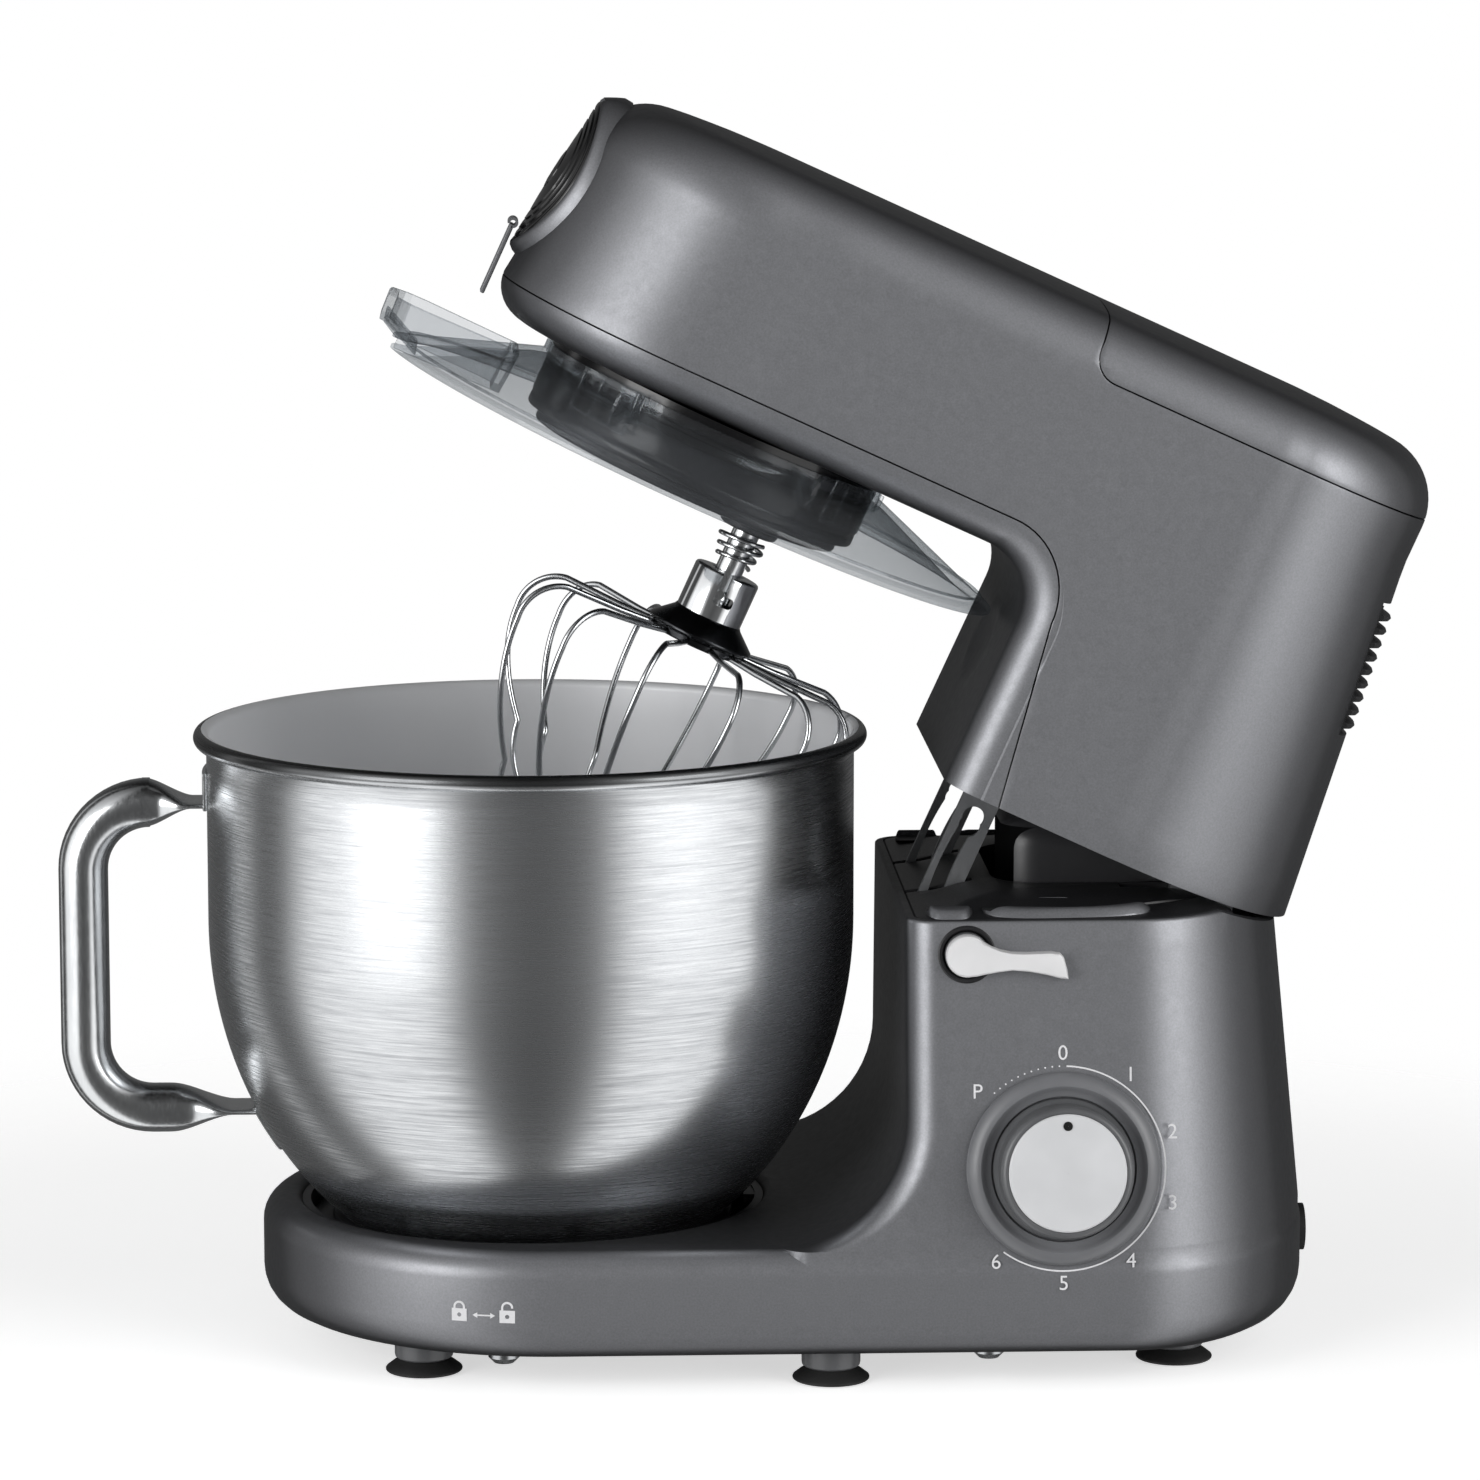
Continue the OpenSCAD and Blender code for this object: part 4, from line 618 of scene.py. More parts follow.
def letters(name, text, at, size):
    """A word as text, centred on a point."""
    deselect()
    bpy.ops.object.text_add(location=Vector((at[0], at[1], 0.06)) * MM)
    piece = named(name)
    piece.data.body = text
    piece.data.size = size * MM
    piece.data.align_x = piece.data.align_y = "CENTER"
    return piece


def clockwise(r, angle):
    """A point on a circle, clockwise from the top by an angle in degrees."""
    return r * math.sin(math.radians(angle)), r * math.cos(math.radians(angle))


def flat_ring(name, r, width, a0, a1, steps):
    """A thin printed arc, clockwise from a0 to a1 with 0 at the top."""
    outer = [clockwise(r + width / 2, mix(a0, a1, i / steps)) for i in range(steps + 1)]
    inner = [clockwise(r - width / 2, mix(a1, a0, i / steps)) for i in range(steps + 1)]
    return prism(name, outer + inner, 0.02, 0.14)


class MIXER_OT_marks(bpy.types.Operator):
    """Add the printed speeds round the dial and the padlock signs on the base"""

    bl_idname = "mixer.marks"
    bl_label = "Printed marks"

    def execute(self, context):
        ink = finishes()["white_ink"]
        arc_r, number_r = 35.4, 39.8
        parts = [on_wall(flat_ring("mark_arc", arc_r, 0.55, 2, 216, 96), *DIAL)]
        for i in range(11):
            x, y = clockwise(arc_r, -42 + 4 * i)
            parts.append(on_wall(pin("mark_dot", (x, y, 0.02), (x, y, 0.14), 0.3, 12), *DIAL))
        for text, angle in [("P", -48)] + [(str(i), 36 * i) for i in range(7)]:
            parts.append(wall_print(letters("mark", text, clockwise(number_r, angle), 7.2)))
        finish(joined("speed_marks", parts), ink, "base_unit")
        parts = [padlock(-109.1, True), padlock(-99.8, False), sign_arrow()]
        finish(joined("lock_signs", parts), ink, "base_unit")
        return {"FINISHED"}


def base_print(piece, angle):
    """Wraps a flat drawing round the front of the base, halfway up its side."""
    r = bpy.context.scene.mixer_body.base_width / 2
    for corner in piece.data.vertices:
        a = math.radians(angle) + corner.co.x / (r * MM)
        depth = r * MM + corner.co.z
        corner.co = (8 * MM + depth * math.cos(a), depth * math.sin(a), 28.6 * MM + corner.co.y)
    return piece


def padlock(angle, shut):
    """A padlock sign: a solid body with a keyhole, and a shackle that is shut or swung open."""
    case = block("sign", (-2.7, -2.4, 0.02), (2.7, 2.0, 0.2))
    boolean(case, pin("keyhole", (0, -0.2, -1), (0, -0.2, 1), 0.75, 16))
    foot = 1.6 if shut else 2.8
    outer = arc(0, 2.6 if shut else 3.0, 2.1, 2.1, 0, 180, 12)
    inner = arc(0, 2.6 if shut else 3.0, 1.35, 1.35, 180, 0, 12)
    shackle = prism("sign", [(2.1, foot)] + outer + [(-2.1, 1.6), (-1.35, 1.6)] + inner + [(1.35, foot)],
                    0.02, 0.2)
    return base_print(joined("sign", [case, shackle]), angle)


def sign_arrow():
    """A double arrow between the two padlocks."""
    half = [(-2.3, -0.25), (-2.3, -1.0), (-4.0, 0), (-2.3, 1.0), (-2.3, 0.25)]
    return base_print(prism("sign", half + [(-x, -y) for x, y in half], 0.02, 0.2), -104.3)


class MIXER_OT_lever(bpy.types.Operator):
    """Add the spoon-shaped lever that frees the head"""

    bl_idname = "mixer.lever"
    bl_label = "Lock lever"

    def execute(self, context):
        kit = finishes()
        x, z = LEVER
        y = -wall_y(z)
        tip = math.radians(-7)
        top = [(4.6, 5.6), (7.6, 4.2), (11, 3.3), (15, 2.9), (20, 3.3), (25, 4.1), (29, 4.7), (31.6, 4.6),
               (33, 3.4)]
        low = [(34.6, -0.4), (35.6, -3.9), (33.0, -4.0), (28, -3.3), (22, -2.9), (16, -3.1), (11.4, -4.2),
               (7.0, -5.6), (4.2, -6.6)]
        outline = [(px * math.cos(tip) - py * math.sin(tip), px * math.sin(tip) + py * math.cos(tip))
                   for px, py in arc(0, 0, 7.4, 7.4, 290, 62, 24) + top + low]
        levels = [(0, 0.4), (0.6, 0.0), (3.6, 0.0), (4.6, 0.35), (5.0, 1.0)]
        rings = [[(x + mix(px, 14 if px > 8 else 0, inset / 16), y - lift, z + mix(py, 0, inset / 8))
                  for px, py in outline] for lift, inset in levels]
        handle = loft("lever_spoon", rings)
        finish(handle, kit["silver"], "lock_lever", ["lever_handle"])
        boss = pin("lever_boss", (x, y + 3.4, z), (x, y - 1, z), 7.6, 64, 0.4)
        finish(boss, kit["knob"], "lock_lever")
        collar = lathe("lever_collar", [(7.9, -1), (9.6, -1), (10.0, 0.1), (9.5, 0.5), (8.6, 0.35),
                                        (8.0, -0.4)], 72)
        finish(on_wall(collar, x, z), kit["moulding"], "base_unit")
        return {"FINISHED"}


# ---- Head ----

def half_width(x, z):
    """Half-width of the head's straight side at a place."""
    body = bpy.context.scene.mixer_body
    front, rear = body.head_width / 2, body.neck_width / 2
    rear -= 4 * min(1, max(0, (z - NECK_FOOT) / 81)) + 4 * min(1, max(0, (z - 246) / 65))
    return front + 0.7 + (rear - front) * (x + 20) / 205


def rear_wall(z):
    """How far back the neck's rear wall stands at a height: it leans forward, then runs upright."""
    return 260.5 - 11.5 * (z - 165) / 101 if z < 296 else 245.6


def head_outline(z, front, lip, inset):
    """Plan of the head at a height. The lip inset belongs to the head and fades out where the neck begins."""
    body = bpy.context.scene.mixer_body
    r = body.head_width / 2
    tail = NECK_TAIL
    turn = arc(front + r, 0, r - inset - lip, r - inset - lip, 90, 270, 56)
    side = []
    steps = 52
    for i in range(1, steps):
        x = mix(front + r, tail, i / steps)
        fade = 1 - ease((x - 98) / 18)
        blend = ease((x - front - r) / 30)
        side.append((x, -(mix(r, half_width(x, z), blend) - inset - lip * fade)))
    half = half_width(tail, z) - 0.7
    rear = rear_wall(z)
    end = arc(tail, 0, rear - tail - inset, half - inset, -90, 90, 52)
    return turn + side + end + [(x, -y) for x, y in reversed(side)]


def head_levels(d=0):
    """Levels of the head and neck: height, front, lip inset and inset all round."""
    body = bpy.context.scene.mixer_body
    lip, top, low = body.lip_round, body.head_top, body.head_bottom
    rake = 7  # how far the nose leans back on its way up
    levels = [(z, 0, lip, d) for z in (NECK_FOOT - (2 if d else 0), 178, 191, 204, 217, 230)]
    levels += [(low + lip * up, 0, lip * inset, d) for inset, up in map(rounding_at, range(0, 91, 9))]
    shoulder = top - 2 - body.edge_round
    levels += [(mix(low + lip, shoulder, t), rake * t, 0, d)
               for t in (0.12, 0.25, 0.38, 0.5, 0.62, 0.75, 0.88)]
    r = body.edge_round
    for a in range(0, 90, 6):
        c, s = math.cos(math.radians(a)), math.sin(math.radians(a))
        levels.append((shoulder + r * s - d * s, rake, 0, r * (1 - c) + d * c))
    for inset, rise in ((24, 0.15), (28, 0.55), (34, 1.0), (42, 1.5), (52, 1.85)):
        levels.append((top - 2 + rise - d, rake, 0, inset))
    return levels


def head_form(name, d=0):
    """The whole closed head with its neck, or the room inside it at a wall of d."""
    body = bpy.context.scene.mixer_body
    return loft(name, [[(x, y, z) for x, y in head_outline(z, body.nose_x + front, lip, inset)]
                       for z, front, lip, inset in head_levels(d)])


def under_head(d=0):
    """The room in front of the neck and below the head. Its edges draw the round lower lip of the neck."""
    body = bpy.context.scene.mixer_body
    r = body.lip_round
    low, face, bend = body.head_bottom, 120, 20
    path = [((x, low + d), (0, 1)) for x in (-140, -60, 0, 40, 70, 84, 92, 96)]
    for a in range(90, -1, -6):
        c, s = math.cos(math.radians(a)), math.sin(math.radians(a))
        path.append(((face - bend + (bend + d) * c, low - bend + (bend + d) * s), (c, s)))
    path += [((face + d, z), (1, 0)) for z in (218, 208, 198, 186, 174, 160)]
    rings = []
    stations = [("out", -1)] + [("round", -a) for a in range(90, 0, -9)]
    stations += [("flat", t / 6) for t in range(-6, 7)]
    stations += [("round", a) for a in range(9, 91, 9)] + [("out", 1)]
    for kind, value in stations:
        ring = []
        for (px, pz), (nx, nz) in path:
            half = half_width(px, pz) if px > -20 else 75
            fade = ease((px - 90) / 14)
            if kind == "flat":
                y, deep = value * (half - r), 0
            elif kind == "round":
                a = math.radians(abs(value))
                y = math.copysign(half - r + r * math.sin(a), value)
                deep = r * (1 - math.cos(a)) * fade
            else:
                y, deep = value * (half + 20), (r + 20) * fade
            ring.append((px + nx * deep, y, pz + nz * deep))
        first, last = ring[0][1], ring[-1][1]
        ring.append((path[-1][0][0] + deep, last, 140))
        ring.append((-140, first, 140))
        rings.append(ring)
    return loft("under_head", rings)


def seam_outline(gap):
    """Side view of what lies below the seam, grown by half the gap."""
    body = bpy.context.scene.mixer_body
    z = body.seam_z + gap
    corner = arc(104, 230, 26 + gap, 28 + gap, 90, 0, 16)
    return [(-160, z)] + corner + [(140.5 + gap, 160), (140.5 + gap, 140), (-160, 140)]


def cover_outline(gap):
    """Side view of the rear top cover, grown by half the gap."""
    edge = [(x - gap, z) for x, z in ((103.5, 380), (103.5, 345), (104.6, 339), (106.4, 333), (106.6, 326))]
    corner = arc(115.5, 323 - gap * 0.5, 9 + gap * 0.5, 9 + gap * 0.5, 180, 270, 8)
    return edge + corner + [(330, 314 - gap), (330, 380)]


class MIXER_OT_head(bpy.types.Operator):
    """Add the head's upper shell, lower shell and rear cover"""

    bl_idname = "mixer.head"
    bl_label = "Head shells"

    def execute(self, context):
        paint = finishes()["paint"]
        body = context.scene.mixer_body
        solid = head_form("head_solid")
        room = head_form("head_room", body.wall)
        boolean(solid, under_head())
        boolean(room, under_head(body.wall))
        boolean(solid, neck_scoop())
        upper = twin(solid, "head_upper")
        lower = twin(solid, "head_lower")
        cover = solid
        cover.name = cover.data.name = "head_rear_cover"
        gap = 0.28  # half of the line that shows between two shells
        boolean(upper, side_cut("seam", seam_outline(gap), SHELL_CUT))
        boolean(upper, side_cut("cover", cover_outline(gap), SHELL_CUT))
        boolean(upper, at_hub(pin("hub_hole", (0, 0, -22), (0, 0, 30), 30, 128)))
        boolean(upper, block("louvre_room", (225, -35.4, 233), (280, 35.4, 282)))
        boolean(lower, side_cut("seam", seam_outline(-gap), SHELL_CUT), "INTERSECT")
        boolean(lower, pin("spindle_hole", (0, 0, 240), (0, 0, 266), 20))
        boolean(cover, side_cut("cover", cover_outline(-gap), SHELL_CUT), "INTERSECT")
        for piece in (upper, lower, cover):
            boolean(piece, room, keep=True)
        bpy.data.objects.remove(room)
        for piece, node in ((upper, "head_upper_shell"), (lower, "head_lower_shell"),
                            (cover, "rear_cover")):
            bevel(piece, 0.45, 2, 50)
            finish(piece, paint, "head", [node], head=True, smooth=40)
        return {"FINISHED"}


def neck_scoop():
    """A shallow oval dish in the neck's front face."""
    deselect()
    bpy.ops.mesh.primitive_uv_sphere_add(
        segments=64, ring_count=32, radius=1, location=Vector((107, 0, 208)) * MM,
        scale=Vector((15.2, 46, 30)) * MM)
    piece = named("scoop")
    bpy.ops.object.transform_apply(location=True, rotation=True, scale=True)
    return piece


def at_hub(piece):
    """Places a piece drawn round +Z on the nose, with +Z out of its raked front."""
    body = bpy.context.scene.mixer_body
    piece.data.transform(Matrix.Translation(Vector((body.nose_x + 4, 0, 299)) * MM)
                         @ Matrix.Rotation(math.radians(-90 + 8.2), 4, "Y"))
    return piece


def nose_disc(name, profile):
    """A lathed piece on the nose, wrapped onto the head's round front and 0.6 mm proud of it."""
    piece = lathe(name, profile, 128)
    r = bpy.context.scene.mixer_body.head_width / 2
    for corner in piece.data.vertices:
        y = corner.co.y / MM
        corner.co.z += (math.sqrt(max(0, r ** 2 - y ** 2)) - r + 0.6) * MM
    return at_hub(piece)


class MIXER_OT_nose(bpy.types.Operator):
    """Add the round cover on the nose, its ring and its pull tab"""

    bl_idname = "mixer.nose"
    bl_label = "Nose cover"

    def execute(self, context):
        kit = finishes()
        ring = nose_disc("nose_collar", [
            (28.9, -9), (28.9, 0.9), (29.3, 1.4), (30.2, 1.5), (31.2, 1.0), (32.4, -0.6), (33.3, -3.0),
            (33.9, -6.0), (34, -9)])
        boolean(ring, at_hub(block("hinge_room", (26.2, -10, -3.6), (29.8, 10, 3))))
        # The collar's top is cut level where it would stand above the raised head
        boolean(ring, at_hub(turned(block("above", (25.6, -30, -30), (45, 30, 30)), -32.7, "Y")))
        finish(ring, kit["paint"], "head", head=True)
        profile = [(0.1, -0.2), (28.3, -0.2), (28.3, 0.6), (27.9, 1.2), (27.2, 1.4)]
        for r in (25.4, 21.6, 17.8):
            profile += [(r + 0.9, 1.45), (r + 0.55, 1.0), (r + 0.1, 0.75), (r - 0.5, 0.8), (r - 0.9, 1.5)]
        profile += [(12, 1.7), (8.6, 1.75), (8.3, 1.2), (7.7, 1.1), (7.4, 1.9), (5, 2.2), (0.1, 2.3)]
        cover = nose_disc("nose_cover", profile)
        finish(cover, kit["black_gloss"], "outlet_flap", ["hub_cover"], head=True, smooth=45)
        x, roll_z, wide = -93.2, 276, 12
        strip = block("tab", (x - 0.8, -wide / 2, 249), (x + 0.8, wide / 2, 275.4), 0.5)
        loop = arc(x, roll_z, 1.9, 1.9, -90, 210, 36)
        inner = [(x + (px - x) * 0.5, roll_z + (pz - roll_z) * 0.5) for px, pz in reversed(loop)]
        roll = side_cut("tab_roll", loop + inner, wide)
        tab = joined("pull_tab", [strip, roll])
        finish(tab, kit["satin_grey"], "outlet_flap", ["hub_cover_tab"], head=True)
        return {"FINISHED"}


class MIXER_OT_louvres(bpy.types.Operator):
    """Add the nine cooling slats in the neck's rear wall"""

    bl_idname = "mixer.louvres"
    bl_label = "Rear louvres"

    def execute(self, context):
        kit = finishes()
        parts = []

        def rear_x(z, y, d=0):
            across = y / (half_width(NECK_TAIL, z) - 0.7 - d)
            return NECK_TAIL + (rear_wall(z) - NECK_TAIL - d) * math.sqrt(1 - across ** 2)

        for i in range(9):
            z = 237 + 5 * i
            rings = []
            for k in range(25):
                y = mix(-34.6, 34.6, k / 24)
                x = rear_x(z, y)
                rings.append([(x + out, y, z + up) for out, up in (
                    (-3, -1.6), (-0.6, -1.9), (1.2, -1.1), (1.7, 0), (1.1, 0.8), (-0.4, 1.0), (-3, 0.9))])
            parts.append(loft("slat", rings))
        for side in (-1, 1):
            rings = []
            for k in range(12):
                z = mix(234.6, 281, k / 11)
                rings.append([(rear_x(z, 34.8, d) + 0.2 * (d == 0), side * y, z)
                              for d, y in ((0, 35.2), (0, 33.6), (3.2, 33.6), (3.2, 35.2))])
            parts.append(loft("rail", rings))
        finish(joined("louvre_slats", parts), kit["moulding"], "head",
               ["vent_louvres", "nose_ring"], head=True)
        return {"FINISHED"}


# ---- Drive, guard and whisk ----

class MIXER_OT_drum(bpy.types.Operator):
    """Add the drum under the head with the carrier that turns in it"""

    bl_idname = "mixer.drum"
    bl_label = "Drum and carrier"

    def execute(self, context):
        kit = finishes()
        r = context.scene.mixer_bowl.drum_r
        drum = lathe("drum", [
            (10, 245.6), (r, 245.6), (r, 243), (r - 0.8, 242.4), (r - 0.8, 239.4), (r, 238.8), (r, 226),
            (r - 0.5, 224.6), (r - 0.2, 224.2), (r - 0.2, 221.4), (r - 0.8, 220.6), (r - 2.6, 220.2),
            (r - 3.4, 220.6), (r - 3.5, 229), (48, 229), (48, 240), (10, 240)], 160)
        finish(drum, kit["black_gloss"], "head", ["planet_housing"], head=True, smooth=40)
        disc = lathe("carrier_disc", [
            (0.1, 225.6), (57.6, 225.6), (58, 225.2), (58, 217.4), (57.4, 216.4), (56, 216), (46, 216),
            (45.2, 216.8), (43, 216.8), (42.2, 216), (0.1, 216)], 144)
        boss = lathe("carrier_boss", [
            (5.3, 217), (5.3, 210.4), (6.2, 210.1), (9.4, 210.1), (10.6, 210.8), (11, 212), (11, 217)],
            64, (ORBIT, 0))
        boolean(disc, pin("bore", (ORBIT, 0, 205), (ORBIT, 0, 230), 5.2))
        boolean(disc, boss, "UNION")
        finish(disc, kit["moulding"], "carrier", ["planet_carrier"], head=True, smooth=40)
        finish(tool_coil(), kit["bright_steel"], "tool_drive", ["tool_spring"],
               head=True, smooth=60)
        return {"FINISHED"}


def tube(name, path, r, sides, across=(0, 0, 1)):
    """A round wire of radius r along an open path; across is a direction square to its start."""
    points = [Vector(p) for p in path]
    rings = []
    side = None
    for i, p in enumerate(points):
        ahead, behind = points[min(i + 1, len(points) - 1)], points[max(i - 1, 0)]
        t = (ahead - behind).normalized()
        if side is None:
            side = t.cross(Vector(across)).normalized()
        side = (side - t * side.dot(t)).normalized()
        up = t.cross(side)
        angles = [2 * math.pi * k / sides for k in range(sides)]
        rings.append([tuple(p + r * (math.cos(a) * side + math.sin(a) * up)) for a in angles])
    return loft(name, rings)


def tool_coil():
    """The conical spring above the whisk."""
    turns, total = 2.9, 104
    path = []
    for i in range(total + 1):
        t = i / total
        a = 2 * math.pi * turns * t
        r = mix(6.2, 8.9, t)
        path.append((ORBIT + r * math.cos(a), r * math.sin(a), mix(197.6, 207.6, t)))
    return tube("tool_coil", path, 0.8, 10)


class MIXER_OT_guard(bpy.types.Operator):
    """Add the clear guard with its chute and clips"""

    bl_idname = "mixer.guard"
    bl_label = "Splash guard"

    def execute(self, context):
        kit = finishes()
        r = context.scene.mixer_bowl.guard_r
        collar = 63.3  # inside of the ring round the drum
        low, top = 219.7, 240  # lip on the bowl's rim, and foot of the collar
        tenths = [i / 10 for i in range(1, 10)]
        profile = [(collar, top - 1.8), (collar, top + 3), (collar + 1.8, top + 3), (collar + 1.8, top + 0.4),
                   (collar + 2.6, top - 0.3)]
        profile += [(mix(collar + 2.6, r - 3, t), mix(top - 0.3, low + 2.6, t)) for t in tenths]
        profile += [(r - 6.2, low + 3.3), (r - 5.9, low + 4.4), (r - 4.9, low + 4.3), (r - 4.6, low + 2.9),
                    (r - 3, low + 2.6), (r - 1, low + 2.2), (r, low + 1.6), (r, low + 0.3), (r - 0.4, low),
                    (113.4, low), (112.9, low + 0.3), (108.6, low + 1)]
        profile += [(mix(108.6, collar + 2.2, t), mix(low + 1.0, top - 1.9, t)) for t in tenths]
        shell = lathe("guard", profile, 192)
        out_x, in_x, high = -123, -72.5, 236.4
        plan = [(out_x, -19), (out_x + 6, -26), (out_x + 14, -27), (in_x, -18), (in_x, 18), (out_x + 14, 27),
                (out_x + 6, 26), (out_x, 19)]

        def chute(d):
            """Plan of the chute, drawn together by about d."""
            return [(mix(x, -98, d / 25), mix(y, 0, d / 24)) for x, y in plan]

        walls = stack("chute", chute, [(low + 0.4, 1.2), (low + 8, 0.5), (high - 1.2, 0.2), (high - 0.4, 0.5),
                                       (high, 1.3)])
        boolean(shell, prism("chute_room", chute(2), low - 20, high + 20))
        boolean(walls, stack("chute_room", chute, [(low - 5, 4.8), (low + 6, 4.0), (high + 5, 3.4)]))
        boolean(walls, side_cut("undercut", [(-130, low - 10), (-130, low + 7.4), (-121, low + 7.2),
                                             (-114, low + 3.9), (-114, low - 10)], 80))
        ramp = side_cut("ramp", [(-121, high - 7), (-121, high - 9), (-106, low + 0.8),
                                 (-106, low + 2.6)], 46)
        bevel(ramp, 0.5, 2)
        rib = block("rib", (collar + 1.2, -1, top - 9), (collar + 12, 1, top + 1.4), 0.4)
        ribs = [turned(twin(rib, "rib"), angle, "Z") for angle in (60, 120, 240, 300)]
        bpy.data.objects.remove(rib)
        clips = [turned(guard_clip(collar, top), angle, "Z") for angle in (-128, -38, 52, 142)]
        piece = joined("clear_guard", [shell, walls, ramp] + ribs + clips)
        finish(piece, kit["clear"], "head", ["splash_guard"], head=True, smooth=35)
        return {"FINISHED"}


def guard_clip(collar, top):
    """A latch on the collar: a frame with bars across it."""
    x = collar + 2.2
    parts = [block("clip", (x, -13, top + 1.2), (x + 1.4, 13, top + 3.6), 0.3),
             block("clip", (x, -13, top - 12.4), (x + 1.2, 13, top - 11.2), 0.3)]
    for y in (-13, -4.5, 4.5, 11.8):
        parts.append(block("clip", (x, y, top - 12), (x + 1.1, y + 1.2, top + 3), 0.25))
    parts.append(block("clip", (x, -12, top - 4.6), (x + 1, 12, top - 3.6), 0.25))
    for y, low, high, r in ((13.4, -3, 4, 1.5), (16.4, -2, 3.4, 1.1)):
        parts.append(pin("clip", (x + 1.6, y, top + low), (x + 1.6, y, top + high), r, 24, 0.3))
    return joined("clip", parts)


class MIXER_OT_whisk(bpy.types.Operator):
    """Add the whisk: its chrome hub, the cone and the wire loops"""

    bl_idname = "mixer.whisk"
    bl_label = "Whisk"

    def execute(self, context):
        kit = finishes()
        sizes = context.scene.mixer_bowl
        hub = lathe("whisk_sleeve", [(5.25, 176), (12.15, 176), (12.15, 193.0), (11.8, 193.7), (11.2, 194.0),
                                     (6.2, 194.0), (5.25, 193.4)], 96, (ORBIT, 0))
        slot = block("slot", (ORBIT - 1.9, -14, 184), (ORBIT + 1.9, 14, 196), 0.6)
        hook = block("hook", (ORBIT - 1.9, -14, 182.6), (ORBIT + 5.4, 14, 186.6), 1.4)
        boolean(hub, slot)
        boolean(hub, hook)
        finish(hub, kit["bright_steel"], "whisk", head=True, smooth=40)
        cone = lathe("whisk_cone", [
            (0.1, 168.5), (18.4, 168.5), (19.2, 168.9), (19.6, 169.8), (19.4, 170.6), (12.9, 176.2),
            (12.5, 176.8), (12.3, 177.2), (5.3, 177.2), (5.3, 174), (0.1, 174)], 96, (ORBIT, 0))
        finish(cone, kit["dark_steel"], "whisk", ["whisk_hub"], head=True, smooth=40)
        wire = sizes.wire_d / 2
        top = 168.5 - wire
        loops = []
        for i in range(sizes.loops):
            low = 66 + wire + i * (sizes.wire_d + 0.1)
            half = [(9, top), (13, top), (18, top - 0.1), (24, top - 0.3), (31, top - 0.5)]
            half += arc(sizes.whisk_r - wire - 9, top - 15, 15, 15, 80, -8, 16)
            start = half[-1]
            r = sizes.whisk_r
            bottom = arc(0, low + r * 0.62, r * 0.79, r * 0.62, -4, -88, 26)
            span = 18
            for k in range(1, span):
                t = k / span
                half.append((mix(start[0], bottom[0][0], t ** 1.9), mix(start[1], bottom[0][1], t)))
            half += bottom
            path = [(x, 0, z) for x, z in half] + [(-x, 0, z) for x, z in reversed(half)]
            loop = tube("loop", path, wire, 12, across=(0, 1, 0))
            turned(loop, (i + 0.5) * 180 / sizes.loops, "Z")
            loop.data.transform(Matrix.Translation(Vector((ORBIT, 0, 0)) * MM))
            loops.append(loop)
        cage = joined("whisk_cage", loops)
        finish(cage, kit["wire_steel"], "whisk", ["whisk_wires"], head=True, smooth=60)
        web = lathe("whisk_web", [(5.2, 166.2), (17.6, 166.2), (17.9, 166.7), (17.6, 168.5), (5.2, 168.5)],
                    72, (ORBIT, 0))
        finish(web, kit["dark_steel"], "whisk", head=True, smooth=40)
        return {"FINISHED"}


# ---- Bowl ----

def bowl_wall(t, steps=44):
    """Points of the bowl's wall from the bottom up, t inside the outer face."""
    sizes = bpy.context.scene.mixer_bowl
    a, b = sizes.bowl_r - t, sizes.belly_h - t
    low = sizes.bowl_bottom + t
    points = []
    for i in range(steps + 1):
        z = mix(low, sizes.belly_z, (i / steps) ** 1.6)
        points.append((a * math.sqrt(max(0, 1 - ((sizes.belly_z - z) / b) ** 2)), z))
    return points


def bowl_radius(z):
    """Outer radius of the bowl at a height."""
    sizes = bpy.context.scene.mixer_bowl
    if z > sizes.belly_z:
        return sizes.bowl_r
    return sizes.bowl_r * math.sqrt(1 - ((sizes.belly_z - z) / sizes.belly_h) ** 2)


class MIXER_OT_bowl(bpy.types.Operator):
    """Add the steel bowl with its rolled rim and its foot"""

    bl_idname = "mixer.bowl"
    bl_label = "Bowl and foot"

    def execute(self, context):
        kit = finishes()
        sizes = context.scene.mixer_bowl
        t, r, rim = 1.2, sizes.bowl_r, sizes.rim_z
        bead = (sizes.rim_r - r + t) / 2
        side = (160, 172, 184, 196, 206)
        profile = [(0.1, sizes.bowl_bottom)] + bowl_wall(0)
        profile += [(r, z) for z in side] + [(r, rim - 2 * bead - 0.9)]
        profile += arc(sizes.rim_r - bead, rim - bead, bead, bead, -115, 178, 26)
        profile += [(r - t, z) for z in reversed(side)]
        profile += bowl_wall(t)[::-1] + [(0.1, sizes.bowl_bottom + t)]
        bowl = lathe("bowl_shell", profile, 224)
        finish(bowl, kit["brushed"], "bowl_unit", ["bowl"], smooth=50)
        ring = lathe("bowl_base_ring", [
            (50, 36.6), (71.2, 36.6), (72, 37.4), (72, 42.6), (71.4, 43.4), (66, 43.4), (60.5, 43.4),
            (50.5, 43.2)], 144)
        clear = [(x + 0.02, z) for x, z in bowl_wall(0, 30)]
        solid = lathe("wall_cut", [(0.1, 30)] + clear + [(0.1, sizes.belly_z)], 144)
        boolean(ring, solid)
        lugs = []
        for i in range(3):
            lug = lathe("lug", [(71, 37.6), (79, 37.6), (79, 42.0), (71, 42.0)], 12,
                        turn=36, start=198 + 120 * i)
            lugs.append(bevel(lug, 0.5, 2))
        foot = joined("bowl_base_ring", [ring] + lugs)
        finish(foot, kit["moulding"], "bowl_unit", ["bowl_foot"])
        return {"FINISHED"}


